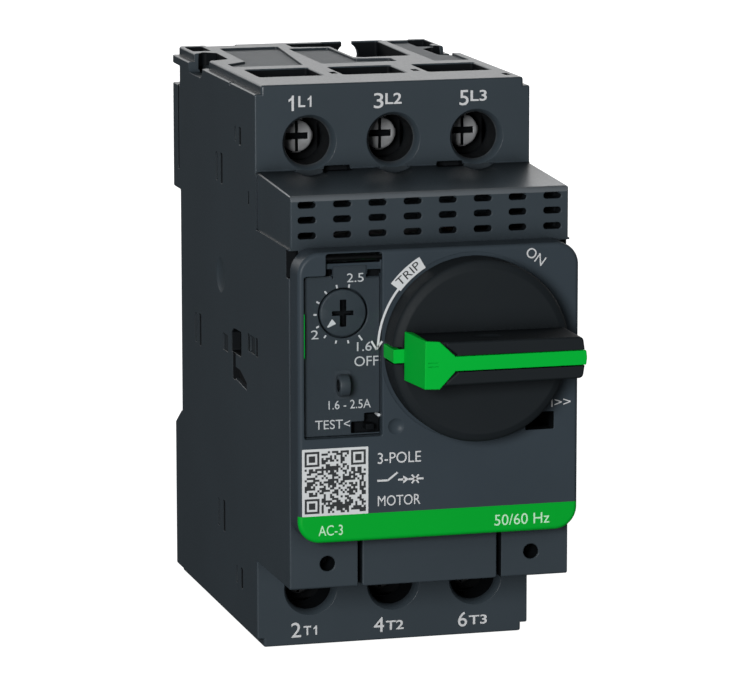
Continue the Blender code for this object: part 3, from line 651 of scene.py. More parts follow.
# Pockets of the sides, in groups cut together: outline in y and z, depth, corner radius, flare
SIDE_POCKETS = (
    [(rect(-29.9, -28.6, 26.3, 31.1), 0.9), (rect(-42.4, -41.1, 34.1, 36.8), 0.9),
     (rect(-47.5, -46.8, 25.4, 27.5), 0.9, 0.2, 0.05), (rect(-14.3, -13.0, -2.6, 2.55), 0.7),
     (rect(-30.3, -29.0, -30.3, -25.3), 0.9), (rect(-42.1, -40.8, -37.1, -33.9), 0.9),
     ([(-35.4, 0.3), (-35.4, 3.3), (-37.0, 4.1), (-41.9, 4.3), (-41.9, 0.4)], 1.45, 0.3, 0.12),
     (rect(-47.4, -46.3, 2.2, 4.9), 0.7), (rect(-52.6, -51.4, 2.2, 5.1), 0.9)],
    [(rect(-26.6, -25.5, 26.5, 30.9), 0.35), (rect(-39.2, -38.4, 34.4, 36.6), 0.35),
     (rect(-11.2, -10.2, -2.4, 2.3), 0.35), (rect(-26.6, -25.6, -30.0, -25.6), 0.35),
     (rect(-38.6, -37.8, -36.8, -34.1), 0.35), (rect(-33.0, -29.6, -0.4, 2.2), 0.25),
     (rect(-38.1, -36.2, -4.0, 0.28), 1.4, 0.1, 0.05), (rect(-50.9, -47.8, 2.3, 4.9), 0.3)],
    [([(-45.3, -4.3), (-45.3, -3.2), (-41.0, -1.9), (-38.05, -1.9), (-38.05, -3.7)],
      0.6, 0.15, 0.08)],
    [(rect(-72.8, -70.7, 17.7, 21.9), 1.5, 0.2, 0.05), (rect(0.6, 1.5, 24.6, 41.2), 0.6, 0.1, 0.05)],
)
# Round dish of the sides: radius, height over the side face
DISH = ((0, 0.3), (3.2, 0.3), (3.0, 0.0), (2.7, -0.12), (1.6, -0.34), (0, -0.42))


def side_pocket(side, outline, depth, radius=0.3, flare=0.1):
    return pocket("X", soften(outline, radius), side * HALF_WIDTH, side * (HALF_WIDTH - depth),
                  flare)


for side in SIDES:
    for group in SIDE_POCKETS:
        cut(shell, [side_pocket(side, *row) for row in group])
    profile = [(radius, side * (HALF_WIDTH + height)) for radius, height in DISH]
    cut(shell, [lathe("X", -28.0, 11.3, profile, 48)])

# Opening in the lower front, holes of the fixing screws, way for the latch
cut(shell, [pocket("Y", rect(-11.45, 11.45, LOWER_Z - 2.0, -22.4), BODY_Y, -69.9, 0.1)])
cut(shell, [pocket("Y", circle(side * 16.25, -26.65, 1.16, 40), BODY_Y, -66.8, 0.16)
            for side in SIDES])
cut(shell, [rod("Y", side * FIXING_X, FIXING_Z, 0.9, -67.2, -57.0, 24) for side in SIDES])
cut(shell, [box(-8.4, 8.4, 0.6, BACK_Y + OVERCUT, -CROWN_Z - OVERCUT, -42.0)])
done(shell, HOUSING, "housing", "housing")

# Painted shade: dark grey in the side pockets and on the end walls of the scoops
paint(shell, RECESS_SHADE, twice((18.5, HALF_WIDTH - 0.02, -50.4, -9.5, -41.3, 8.0),
                           (18.5, HALF_WIDTH - 0.02, -50.4, -9.5, 20.0, 41.3),
                           (18.5, HALF_WIDTH - 0.02, -72.2, -50.4, -22.1, 22.1)))
paint(shell, RECESS_SHADE, [(-21.6, 21.6, TERMINAL_Y - 0.1, TERMINAL_Y - 0.01, 30.0, 31.0)])
# Painted shade: near-black in deep pockets, slots, vents, notches, wire entries, the top well and
# the bores behind their mouths
paint(shell, SHADE_BLACK, twice(
    (18.5, HALF_WIDTH - 0.4, -50.4, -9.0, -41.3, 41.3),
    (18.5, HALF_WIDTH - 0.4, -72.2, -50.4, -22.1, 22.1),
    (18.5, HALF_WIDTH - 0.2, 0.5, 1.6, 24.0, 41.4),
    (-21.5, 21.5, BODY_Y + 0.16, BODY_Y + 2.7, 23.0, 30.0),
    (10.6, 11.6, BODY_Y + 0.2, -69.0, -32.5, -22.3),
    (14.6, 18.0, BODY_Y + 0.3, -60.0, -28.4, -25.0),
    (17.3, 20.95, -17.4, -4.9, 41.6, 44.3),
    (15.5, 21.6, TERMINAL_Y + 0.05, TERMINAL_Y + 0.75, 30.9, 31.25),
    (6.7, 11.5, TERMINAL_Y - 1.7, -48.0, 30.5, 31.75)) + [
    (-20.0, 20.0, -41.2, -30.3, 41.9, 44.25), (-3.6, 3.6, -3.1, 3.1, 42.5, 44.35),
    (2.6, 12.9, -19.0, 3.8, 38.7, 44.2), (-17.0, -11.5, 3.2, 6.0, 42.5, 44.35),
    (13.5, 18.4, 3.8, 6.0, 42.5, 44.35), (-21.0, -17.5, -3.6, 3.4, 43.3, 44.35),
    (17.5, 21.0, -3.6, 3.4, 43.3, 44.35),
    (-19.0, 19.0, TERMINAL_Y + 2.5, -43.0, 30.9, 39.9),
    (-19.0, 19.0, TERMINAL_Y + 2.5, -43.0, -39.9, -30.9),
    (19.1, 20.2, -48.4, -45.7, 43.2, 44.4), (-8.4, 8.4, -39.5, -36.8, 43.2, 44.4)])
# Painted light: the top panel floors get the lighter panel colour
paint(shell, PANEL_PAINTED_LIGHT, [(-20.0, 20.0, -27.0, 3.0, 44.05, 44.15)])
# Painted shade and highlight along the ledge
paint(shell, LEDGE_SHADE, [(-21.95, 21.95, BODY_Y + 0.85, TERMINAL_Y - 0.2, 29.0, 31.2)])
# Painted highlight on the vent block's rounded top front edge
paint(shell, BRIM_HIGHLIGHT, [(-22.0, 22.0, BODY_Y - 0.05, BODY_Y + 0.8, VENT_TOP_Z - 0.8,
                     VENT_TOP_Z + 0.1)])

# ---- base plate -------------------------------------------------------------------------------
# Side view: y, z and, at some corners, their own radius
base_outline = soften([
    (-2.0, 42.1, 0), (0.1, 42.1), (0.1, 38.6), (BACK_Y, 38.6), (BACK_Y, 18.6), (1.4, 18.6),
    (1.4, RAIL_TOP + 0.3, 0.15), (-0.4, RAIL_TOP + 0.3, 0.1), (-0.4, 18.4, 0.1), (0.0, 18.4, 0.1),
    (0.0, -16.1, 0.2), (0.7, -16.1), (BACK_Y, -18.7), (BACK_Y, -42.1), (-2.0, -42.1, 0)], 0.3)
base = make("base_panel", [slab("X", base_outline, -20.1, 20.1, 0.15, 0.15, 2)])
cut(base, [box(-8.4, 8.4, -0.4, 3.0, -16.6, -13.2)])
cut(base, [box(-10.0, 10.0, 0.6, 2.6, -44.0, -15.4)])
cut(base, [box(-8.3, 8.3, 2.0, BACK_Y + OVERCUT, -44.0, -15.4)])
cut(base, [pocket("Y", soften([(2.7, 44.0), (2.7, 38.5), (12.3, 38.5), (12.3, 44.0)], 0.2),
                  BACK_Y, -2.5, 0.05)])
# Shallow fields of the back: spans in x, span in z, corner radius, face, floor, flare
for columns, rows, radius, face, floor_y, flare in (
    (((-18.2, -1.4), (1.4, 18.2)), (22.4, 36.2), 0.6, BACK_Y, 3.6, 0.15),
    (((-18.2, -11.6), (11.6, 18.2)), (-40.0, -21.0), 0.6, BACK_Y, 3.6, 0.15),
    (((-18.0, -9.5), (-7.5, 7.5), (9.5, 18.0)), (-9.0, 14.0), 0.8, 0.0, -0.7, 0.12),
):
    cut(base, [pocket("Y", rounded(*column, *rows, radius), face, floor_y, flare)
               for column in columns])
cut(base, [pocket("Y", circle(x, z, 1.5, 32), 3.6, 2.2, 0.1, out=0.2)
           for x in (-15.0, 15.0) for z in (33.0, 25.6)])
weld(base, [box(-1.3, 1.3, 0.3, 4.2, -37.5, -36.0)])
done(base, BASE, "housing", "base_plate")

# ---- rail latch -------------------------------------------------------------------------------
latch = make("rail_latch", [brick(-8.0, 8.0, 0.95, 4.4, -44.3, RAIL_BOTTOM - 0.4, 0.22)])
tooth = [(1.5, -15.2), (4.4, -15.2), (4.4, -14.6), (3.6, RAIL_BOTTOM + 1.4),
         (1.5, RAIL_BOTTOM + 1.4)]
weld(latch, [brick(-9.7, 9.7, 0.95, 2.3, -38.5, -22.0, 0.15),
             prism("X", soften(tooth, 0.15, 2), -8.0, 8.0)])
cut(latch, [box(-1.7, 1.7, 0.0, 5.0, -41.4, -28.0)])
cut(latch, [pocket("Y", rounded(-5.5, 5.5, -26.4, -19.6, 0.5), 4.4, 3.4, 0.12)])
cut(latch, [pocket("Y", rounded(-4.0, 4.0, -43.6, -42.4, 0.4), 4.4, 3.2, 0.12)])
done(latch, LATCH, "din_latch", "din_latch")
spring = make("latch_spring_coil", [coil("Z", 0.0, 2.6, radius=1.0, wire=0.2, start=-35.4,
                                         end=-28.6, turns=8, per_turn=24)])
done(spring, STEEL, "housing", "latch_spring", wire=True)
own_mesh(spring)

# ---- front cover ------------------------------------------------------------------------------
cover_outline = soften([(COVER_X, COVER_Z), (-COVER_X, COVER_Z), (-COVER_X, -COVER_Z),
                        (COVER_X, -COVER_Z)], COVER_RADIUS, 14)
cover = make("front_cover_panel", [slab("Y", cover_outline, COVER_Y, -72.7, 0.7, 0.15, 6)])
cut(cover, [box(-20.3, 20.3, -74.9, -72.0, -20.5, 20.5)])
# The window over the scale plate, with its hinge at the top
window = soften([(-21.12, -6.15), (-8.95, -6.15), (-8.95, 22.05), (-17.7, 22.05), (-17.7, 18.66),
                 (-21.12, 18.66)], 0.35)
cut(cover, [pocket("Y", window, COVER_Y, -76.55, 0.14)])
cut(cover, [box(-21.1, -8.98, -77.0, -75.6, -6.1, 18.62)])
cut(cover, [box(-16.4, -11.2, -77.0, -75.65, 18.3, 20.0)])
cut(cover, [pocket("Y", rounded(-17.4, -9.1, 20.4, 21.95, 0.1), -76.55, -74.0, 0.05, out=0.1)])
cut(cover, [box(-17.6, -16.5, -78.2, -75.0, 18.1, 19.6),
            box(-11.1, -9.0, -78.2, -75.0, 18.1, 19.35)])
# Holes for the knob's shaft, the dial and the test lever, and a slot at the right
cut(cover, [rod("Y", KNOB_X, KNOB_Z, 5.2, COVER_Y - OVERCUT, -74.0, 64),
            rod("Y", DIAL_X, DIAL_Z, 4.2, -76.0, -74.0, 48),
            box(-13.9, -8.9, -76.0, -74.0, -5.9, -2.3)])
cut(cover, [pocket("Y", rounded(13.7, 18.2, -6.45, -3.75, 0.15), COVER_Y, -74.0, 0.08)])
cut(cover, [rod("X", HINGE_Y, HINGE_Z, 0.55, -18.2, -8.4, 16)])
# Groove around the knob and a small dimple at its lower left: radius, depth behind the front
groove = ((14.35, -0.3), (14.35, 0.12), (13.2, 0.3), (13.2, -0.3))
dimple = ((0, -0.5), (1.5, -0.5), (1.25, 0.0), (0.9, 0.28), (0.45, 0.42), (0, 0.46))
for x, z, steps, count in ((KNOB_X, KNOB_Z, groove, 96), (-6.84, -4.8, dimple, 40)):
    cut(cover, [lathe("Y", x, z, [(radius, COVER_Y + depth) for radius, depth in steps], count)])
done(cover, COVER, "housing", "front_cover")
# Painted shade: near-black in the hinge slot, the notches by the hinge, the slot at the right and
# the test lever's opening
paint(cover, SHADE_BLACK, [
    (-17.5, -8.95, -76.5, -73.0, 20.3, 22.0), (-17.7, -16.4, -77.4, -74.5, 18.0, 19.65),
    (-11.2, -8.85, -77.4, -74.5, 18.0, 19.4), (12.5, 18.3, -77.3, -73.0, -6.5, -3.7),
    (-14.0, -8.8, -76.3, -73.0, -6.0, -2.2)])

port = make("aux_port_panel", [slab("Y", rounded(-10.75, 10.75, LOWER_Z, -22.65, 0.35),
                                    BODY_Y, -70.3, 0.24, 0.1)])
weld(port, [brick(-9.0, 9.0, -70.6, -67.4, -27.6, -26.4, 0.1)])
done(port, HOUSING, "housing", "aux_port_cover")

# ---- scale plate ------------------------------------------------------------------------------
scale = make("scale_panel", [slab("Y", rect(-21.0, -9.1, -5.95, 18.05), PLATE_Y, -75.85,
                                  0.08, 0.05, 2)])
weld(scale, [box(-20.7, -16.55, PLATE_Y, -75.9, 17.8, 18.45),
             box(-16.35, -11.25, PLATE_Y, -75.9, 17.8, 19.95)])
# An eye that stands out of the plate
weld(scale, [slab("X", rounded(-79.4, -76.1, 0.35, 3.65, 1.55, 8), -16.0, -14.35, 0.18, 0.18)])
cut(scale, [rod("X", -78.0, 2.05, 0.95, -17.0, -15.25)])
cut(scale, [pocket("Y", circle(DIAL_X, DIAL_Z, 3.84, 72), PLATE_Y, -75.0, 0.12)])
lever_slot = [(-13.55, -5.7), (-8.6, -5.7), (-8.6, -2.7), (-11.5, -2.7), (-11.5, -3.95),
              (-13.55, -3.95)]
cut(scale, [pocket("Y", soften(lever_slot, 0.15), PLATE_Y, -75.0, 0.08)])
done(scale, SCALE, "housing", "scale_plate")
# Painted shade: near-black in the lever slot, the eye's hole and the dial's recess
paint(scale, SHADE_BLACK, [
    (-13.7, -8.5, -76.25, -74.0, -5.8, -2.6), (-15.95, -15.2, -78.97, -77.03, 1.08, 3.02),
    (DIAL_X - 4.0, DIAL_X + 4.0, -76.25, -74.0, DIAL_Z - 4.0, DIAL_Z + 4.0)])

# ---- setting dial, test lever, clear flap -----------------------------------------------------
dial = make("dial_body", [lathe("Y", DIAL_X, DIAL_Z, [
    (0, DIAL_FACE_Y), (3.3, DIAL_FACE_Y), (3.48, -76.44), (3.6, -76.28), (3.6, -74.6),
    (5.0, -74.6), (5.0, -73.4), (2.0, -73.4), (2.0, -66.15), (0, -66.15)], 64)])
# A cross slot: reach to the left, right, down and up
for left, right, down, up in ((1.72, 1.62, 0.36, 0.36), (0.5, 0.5, 2.06, 2.06)):
    slot = rounded(DIAL_X - left, DIAL_X + right, DIAL_Z - down, DIAL_Z + up, 0.1)
    cut(dial, [prism("Y", slot, -77.0, -74.9)])
done(dial, DIAL, "setting_dial", "setting_dial")
# Painted shade: near-black in the dial's cross slot
paint(dial, SHADE_BLACK, [(DIAL_X - 2.3, DIAL_X + 2.3, -76.42, -74.7, DIAL_Z - 2.3, DIAL_Z + 2.3)])

# The test lever is near-black painted shade, so it reads as part of the dark slot
lever = make("test_lever", [brick(-11.3, -10.0, -76.5, -74.0, -5.3, -4.4, 0.1)])
weld(lever, [box(-12.6, -8.8, -74.6, -73.3, -6.6, -3.2),
             box(-11.4, -10.0, -73.5, -66.0, -5.6, -4.2)])
done(lever, SHADE_BLACK, "test_slider", "test_slider")

flap_outline = soften([(-20.95, -5.9), (-9.15, -5.9), (-9.15, 19.9), (-17.3, 19.9), (-17.3, 18.5),
                       (-20.95, 18.5)], 0.3)
flap = make("flap_clear", [slab("Y", flap_outline, COVER_Y + 0.02, -76.85, 0.12, 0.05, 2)])
weld(flap, [box(-17.1, -9.6, -77.2, -76.72, 18.0, 20.9),
            rod("X", HINGE_Y, HINGE_Z, 0.68, -16.6, -9.75)])
cut(flap, [rod("X", HINGE_Y, HINGE_Z, 0.5, -18.0, -8.0, 24)])
cut(flap, [prism("Y", rounded(-16.5, -13.9, -0.3, 4.3, 0.4), -78.2, -76.0)])
done(flap, CLEAR, "dial_cover", "dial_cover")
pin = make("hinge_pin", [slab("X", circle(HINGE_Y, HINGE_Z, 0.4, 24), -18.0, -8.6, 0.08, 0.08, 2)])
done(pin, STEEL_SHADE_DARK, "housing", "flap_pin")

# ---- knob -------------------------------------------------------------------------------------
# Rim: radius, depth behind the knob's face
rim_steps = [(0, 0.0), (12.45, 0.0), (12.6, 0.02), (12.75, 0.08), (13.3, 0.32), (13.62, 0.5),
             (13.82, 0.72), (KNOB_RADIUS, 1.05)]
knob_profile = [(radius, KNOB_FACE_Y + depth) for radius, depth in rim_steps]
knob_profile += [(KNOB_RADIUS, -79.4), (13.86, -78.0), (12.3, -78.0), (12.3, -81.6),
                 (4.4, -81.6), (4.4, -78.2), (0, -78.2)]
knob = make("knob_body", [lathe("Y", KNOB_X, KNOB_Z, knob_profile, 128)])


def at_knob_height(points):
    """Lifts outline points given about the knob's middle; a radius in them stays."""
    return [(p[0], p[1] + KNOB_Z, *p[2:]) for p in points]


def grip_section(left, notch, y, shrink=0.0):
    """The grip's outline, notched at its left end."""
    points = [(left, -GRIP_HALF, 0.4), (18.2, -GRIP_HALF + 0.16, 0.7), (18.66, 0.0, 6.0),
              (18.2, GRIP_HALF - 0.16, 0.7), (left, GRIP_HALF, 0.4),
              (notch, 1.35, 0.1), (notch, -1.35, 0.1)]
    return inset(soften(at_knob_height(points), 0.4, 5), shrink), y


weld(knob, [loft("Y", [
    grip_section(-3.95, -1.5, GRIP_Y, 0.36), grip_section(-3.95, -1.5, GRIP_Y + 0.05, 0.22),
    grip_section(-3.96, -1.5, GRIP_Y + 0.18, 0.07), grip_section(-4.0, -1.55, GRIP_Y + 0.4),
    grip_section(-5.95, -4.6, GRIP_Y + 0.44), grip_section(-5.95, -4.6, KNOB_FACE_Y + 0.4)])])
# Shaft hole, groove for the slide's strip, room for the slide, slot for the pointer:
# x low, x high, y low, y high, half height
for *spans, half in (
    (KNOB_X - 2.3, KNOB_X + 2.3, -82.6, -77.0, 2.3),
    (-6.6, 19.0, GRIP_Y - OVERCUT, -89.5, 1.25),
    (-6.6, 8.2, -90.2, -84.4, 2.3),
    (-9.8, -7.55, -84.5, -77.0, 1.3),
):
    cut(knob, [box(*spans, KNOB_Z - half, KNOB_Z + half)])
# Shallow oval dents above and below the grip
ball_angles = [math.radians(degrees) for degrees in range(-75, 90, 15)]
ball_points, ball_faces = lathe("Z", 0.0, 0.0, [(0, -1.0)] + [
    (math.cos(a), math.sin(a)) for a in ball_angles] + [(0, 1.0)], 40)
for side in SIDES:
    dent_z = KNOB_Z + side * (GRIP_HALF + 0.35)
    cut(knob, [([(4.6 + x * 3.1, -87.6 + y * 2.2, dent_z + z * 0.8) for x, y, z in ball_points],
                ball_faces)])
done(knob, KNOB, "knob", "knob")

POINTER_SPAN = (KNOB_Z - 1.05, KNOB_Z + 1.05)
pointer = make("pointer_green", [slab("Y", rounded(-8.95, -7.85, *POINTER_SPAN, 0.12, 2),
                                      -83.62, -78.1, 0.15, 0.1)])
weld(pointer, [slab("Y", rounded(-8.95, -5.8, *POINTER_SPAN, 0.12, 2), -83.66, -83.36, 0.08, 0)])
done(pointer, GREEN, "knob", "knob_pointer")

# ---- padlock slide ----------------------------------------------------------------------------
# Head of the slide at its front and at its root: x, z from the knob's middle
HEAD_FRONT = [(-6.5, -3.65), (-4.15, -3.75), (-1.72, -1.18), (-1.72, 1.18), (-4.15, 3.45),
              (-6.38, 3.62)]
HEAD_ROOT = [(-7.3, -3.72), (-6.1, -3.62), (-3.7, -1.18), (-3.7, 1.18), (-6.1, 3.6),
             (-7.25, 3.75)]


def head_section(points, y, shrink=0.0):
    return inset(soften(at_knob_height(points), 0.18), shrink), y


slide = make("lock_slide_green", [loft("Y", [
    head_section(HEAD_FRONT, GRIP_Y, 0.16), head_section(HEAD_FRONT, GRIP_Y + 0.05, 0.05),
    head_section(HEAD_FRONT, GRIP_Y + 0.16), head_section(HEAD_ROOT, -83.75)])])
cut(slide, [box(-5.97, 1.0, GRIP_Y + 0.38, -83.0, KNOB_Z - 5.0, KNOB_Z + 5.0)])
strip = at_knob_height(soften([(-3.0, -1.1), (18.66, -1.1, 0.15), (18.8, 0.0, 2.0),
                               (18.66, 1.1, 0.15), (-3.0, 1.1)], 0.1))
weld(slide, [box(-4.5, 7.9, -89.95, -84.7, *POINTER_SPAN)])
weld(slide, [box(-1.4, 7.9, -89.9, -84.7, KNOB_Z - 2.0, KNOB_Z + 2.0)])
weld(slide, [slab("Y", strip, GRIP_Y + 0.005, -89.75, 0.14, 0)])
cut(slide, [rod("Z", 1.2, -87.3, 2.0, KNOB_Z - 3.0, KNOB_Z + 3.0, 40)])
cut(slide, [pocket("Y", rounded(-5.9, -4.3, KNOB_Z + low, KNOB_Z + high, 0.02),
                   GRIP_Y, GRIP_Y + 0.12, 0.03) for low, high in ((-0.34, -0.24), (0.24, 0.34))])
done(slide, GREEN, "padlock_slide", "padlock_slide")

# ---- terminal screws and clamps ---------------------------------------------------------------
# Load screws get the darker copy of the screw metal: painted shade
for row, side, finish in (("line", 1, SCREW), ("load", -1, SCREW_SHADED)):
    z = side * TERMINAL_Z
    for number, x in enumerate(POLES, 1):
        screw = make(f"{row}_screw_body_{number}", [lathe("Y", x, z, [
            (0, -43.5), (2.3, -43.5), (2.5, -43.42), (2.68, -43.2), (2.75, -42.8), (2.75, -41.0),
            (SHANK_RADIUS, -41.0), (SHANK_RADIUS, -27.3), (1.4, -27.0), (0, -27.0)], 48)])
        cut(screw, [box(x - 1.8, x + 1.8, -44.0, -42.3, z - 0.52, z + 0.52)])
        cut(screw, [box(x - 0.24, x + 0.24, -44.0, -42.6, z - 2.45, z + 2.45)])
        part = f"{row}_screw_{number}"
        done(screw, finish, part, part)
        # Painted shade: near-black in the screw's slots
        paint(screw, SHADE_BLACK, [(x - 2.5, x + 2.5, -43.45, -42.0, z - 2.5, z + 2.5)])
        plate = rounded(x - 4.2, x + 4.2, z - 4.2, z + 4.2, 0.6)
        clamp = make(f"{row}_clamp_body_{number}", [slab("Y", plate, -40.7, -39.4, 0.2, 0.1)])
        weld(clamp, [box(x - 4.0, x + 4.0, -39.6, -38.6, z + low, z + high)
                     for low, high in ((-3.2, -2.6), (2.6, 3.2))])
        cut(clamp, [rod("Y", x, z, SHANK_RADIUS + 0.3, -41.5, -38.0)])
        part = f"{row}_clamp_{number}"
        # Clamps in near-black steel: painted shade in the bores
        done(clamp, STEEL_SHADE_DARK, part, part)

# ---- housing screws and opening springs -------------------------------------------------------
for number, side in enumerate((-1, 1), 1):
    x, z = side * FIXING_X, FIXING_Z
    screw = make(f"housing_screw_body_{number}", [lathe("Y", x, z, [
        (0, -68.5), (0.9, -68.45), (1.2, -68.2), (1.2, -67.2), (0.7, -67.2), (0.7, -57.8),
        (0, -57.8)], 32)])
    for half_width, half_height in ((0.8, 0.16), (0.16, 0.8)):
        cut(screw, [box(x - half_width, x + half_width, -69.0, -68.1,
                        z - half_height, z + half_height)])
    # Near-black steel: painted shade in the screw holes
    done(screw, STEEL_SHADE_DARK, "housing", f"housing_screw_{number}")

for number, side in enumerate((-1, 1), 1):
    spring = make(f"opening_spring_coil_{number}", [coil(
        "Y", side * 7.8, 11.0, radius=1.8, wire=0.3, start=-35.9, end=-25.1, turns=7,
        per_turn=26)])
    done(spring, STEEL, "housing", f"opening_spring_{number}", wire=True)
    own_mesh(spring)


# ---- printed marks ----------------------------------------------------------------------------
def text_mark(name, text, left, right, low, high, y, mat, tilt=0.0, bold=0.0):
    """Letters that fill the given box on a face across Y; tilt turns them clockwise in degrees."""
    curve = bpy.data.curves.new(name, "FONT")
    curve.body, curve.size, curve.extrude, curve.offset = text, 1.0, 0.02, bold
    curve.resolution_u = 4
    temp = bpy.data.objects.new(name + "_curve", curve)
    bpy.context.scene.collection.objects.link(temp)
    mesh = baked_mesh(temp)
    bpy.data.objects.remove(temp, do_unlink=True)
    across, up = [v.co.x for v in mesh.vertices], [v.co.y for v in mesh.vertices]
    scale_x = (right - left) / (max(across) - min(across))
    scale_z = (high - low) / (max(up) - min(up))
    cos, sin = math.cos(math.radians(-tilt)), math.sin(math.radians(-tilt))
    for vertex in mesh.vertices:
        x = (vertex.co.x - (max(across) + min(across)) / 2) * scale_x
        z = (vertex.co.y - (max(up) + min(up)) / 2) * scale_z
        vertex.co = Vector(((left + right) / 2 + x * cos - z * sin,
                            y - (INK if vertex.co.z > 0 else -INK_ROOT),
                            (low + high) / 2 + x * sin + z * cos)) * MM
    mesh.name = name
    obj = bpy.data.objects.new(name, mesh)
    bpy.context.scene.collection.objects.link(obj)
    mesh.materials.clear()
    mesh.materials.append(mat)
    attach(obj, "housing")


def printed(name, shapes, mat, body="housing"):
    obj = make(name, shapes)
    obj.data.materials.append(mat)
    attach(obj, body)


def flat(outline, y):
    """A printed field on a face across Y."""
    return prism("Y", outline, y - INK, y + INK_ROOT)


def bar(x_start, z_start, x_end, z_end, width, y=COVER_Y):
    """A straight printed line."""
    along = Vector((x_end - x_start, z_end - z_start)).normalized()
    off = Vector((-along.y, along.x)) * width / 2
    return flat([(x_start + off.x, z_start + off.y), (x_end + off.x, z_end + off.y),
                 (x_end - off.x, z_end - off.y), (x_start - off.x, z_start - off.y)], y)


def ring_part(inner, outer, start, end, steps=24):
    """A printed piece of a ring about the knob; degrees from straight up, clockwise."""
    angles = [math.radians(start + (end - start) * k / steps) for k in range(steps + 1)]
    outline = [(KNOB_X + radius * math.sin(a), KNOB_Z + radius * math.cos(a))
               for radius, turns in ((outer, angles), (inner, angles[::-1])) for a in turns]
    return flat(outline, COVER_Y)


def figure_one(name, right, low, high, width):
    """A figure one with its flag on the terminal face."""
    height, left = high - low, right - width
    tip = left - height * 0.2
    stem = [(right, low), (right, high), (right - width * 0.8, high), (left, high - height * 0.1),
            (left, low)]
    flag = [(left, high - height * 0.12), (left, high - height * 0.30),
            (tip, high - height * 0.42), (tip, high - height * 0.27)]
    printed(name, [flat(stem, TERMINAL_Y), flat(flag, TERMINAL_Y)], PRINT)


# Terminal numbers: spans in z of the large and small marks of each row
LARGE_BOLD, SMALL_BOLD = 0.005, 0.016
LINE_SMALL, LOAD_SMALL = (40.95, 42.68), (-42.95, -41.45)
LINE_LARGE, LOAD_LARGE = (40.35, 42.75), (-43.2, -40.8)
figure_one("mark_line_1", -15.95, 40.4, 42.8, 0.38)
text_mark("mark_line_small_1", "L", -15.25, -14.15, *LINE_SMALL, TERMINAL_Y, PRINT,
          bold=SMALL_BOLD)
figure_one("mark_line_small_one", -13.15, *LINE_SMALL, 0.27)
text_mark("mark_load_small_1", "T", -14.7, -13.45, *LOAD_SMALL, TERMINAL_Y, PRINT,
          bold=SMALL_BOLD)
figure_one("mark_load_small_one", -12.5, *LOAD_SMALL, 0.27)
text_mark("mark_load_1", "2", -16.7, -15.1, *LOAD_LARGE, TERMINAL_Y, PRINT, bold=LARGE_BOLD)
# Row, pole, large and small text, left and right of the large mark, right of the small one
for row, pole, large, small, left, middle, right in (
    ("line", 2, "3", "L2", -3.15, -1.6, 1.35), ("line", 3, "5", "L3", 10.7, 12.2, 15.15),
    ("load", 2, "4", "T2", -3.2, -1.5, 1.7), ("load", 3, "6", "T3", 10.7, 12.2, 15.5),
):
    large_z, small_z = (LINE_LARGE, LINE_SMALL) if row == "line" else (LOAD_LARGE, LOAD_SMALL)
    text_mark(f"mark_{row}_{pole}", large, left, middle, *large_z, TERMINAL_Y, PRINT,
              bold=LARGE_BOLD)
    text_mark(f"mark_{row}_small_{pole}", small, middle + 0.3, right, *small_z, TERMINAL_Y, PRINT,
              bold=SMALL_BOLD)

# Scale plate: name, text, left, right, low, high
for name, text, *spans in (
    ("mark_dial_max", "2.5", -14.2, -11.6, 17.45, 18.8),
    ("mark_dial_mid", "2", -19.8, -18.65, 9.0, 10.35),
    ("mark_dial_min", "1.6", -12.65, -10.35, 6.85, 8.25),
    ("mark_range", "1.6 - 2.5A", -17.1, -10.5, -1.9, -0.55),
    ("mark_off", "OFF", -13.05, -9.3, 4.55, 6.05),
    ("mark_test", "TEST<", -19.2, -13.75, -4.9, -3.5),
):
    text_mark(name, text, *spans, PLATE_Y, PRINT)
ticks = []
for k in range(10):
    angle = math.radians(12.6 - 25.4 * k)
    inner, outer = (4.15, 5.1) if k == 9 else (4.1, 4.6)
    sin, cos, z = math.sin(angle), math.cos(angle), DIAL_Z - 0.15
    ticks.append(bar(DIAL_X + inner * sin, z + inner * cos, DIAL_X + outer * sin, z + outer * cos,
                     0.26, PLATE_Y))
printed("mark_dial_ticks", ticks, PRINT)
aim = math.radians(230)
sin, cos = math.sin(aim), math.cos(aim)
tip = (DIAL_X + 3.45 * sin, DIAL_Z + 3.45 * cos)
root_x, root_z = DIAL_X + 1.85 * sin, DIAL_Z + 1.85 * cos
arrow = [tip, (root_x + cos * 0.5, root_z - sin * 0.5), (root_x - cos * 0.5, root_z + sin * 0.5)]
printed("mark_dial_arrow", [flat(soften(arrow, 0.1), DIAL_FACE_Y)], PRINT_PALE, "setting_dial")
printed("mark_window_line", [bar(-21.1, 13.0, -21.1, 6.3, 0.16, COVER_Y + 0.15)], GREEN)
printed("mark_test_dot", [prism("Y", circle(-9.25, -3.1, 0.24, 16), PLATE_Y - INK,
                                PLATE_Y + 1.5)], PRINT)

# Around the knob
printed("mark_trip_field", [ring_part(14.2, 16.15, -51.5, -30.5)], PRINT_PALE)
TRIP_TILT = -41.0
trip_x = KNOB_X + 15.18 * math.sin(math.radians(TRIP_TILT))
trip_z = KNOB_Z + 15.18 * math.cos(math.radians(TRIP_TILT))
text_mark("mark_trip", "TRIP", trip_x - 2.2, trip_x + 2.2, trip_z - 0.62, trip_z + 0.62,
          COVER_Y - INK, PRINT_DARK, tilt=TRIP_TILT)
printed("mark_arc", [ring_part(14.5, 14.85, -88.5, -51.5)], PRINT_PALE)
printed("mark_arc_head", [bar(-9.92, 7.2, -10.7, 8.5, 0.3), bar(-9.92, 7.2, -9.0, 8.4, 0.3)],
        PRINT_PALE)
text_mark("mark_on", "ON", 15.15 - 1.6, 15.15 + 1.6, 20.35 - 0.78, 20.35 + 0.78, COVER_Y, PRINT,
          tilt=37.0)
text_mark("mark_trip_class", "I>>", 17.75, 20.85, -3.05, -1.7, COVER_Y, PRINT)

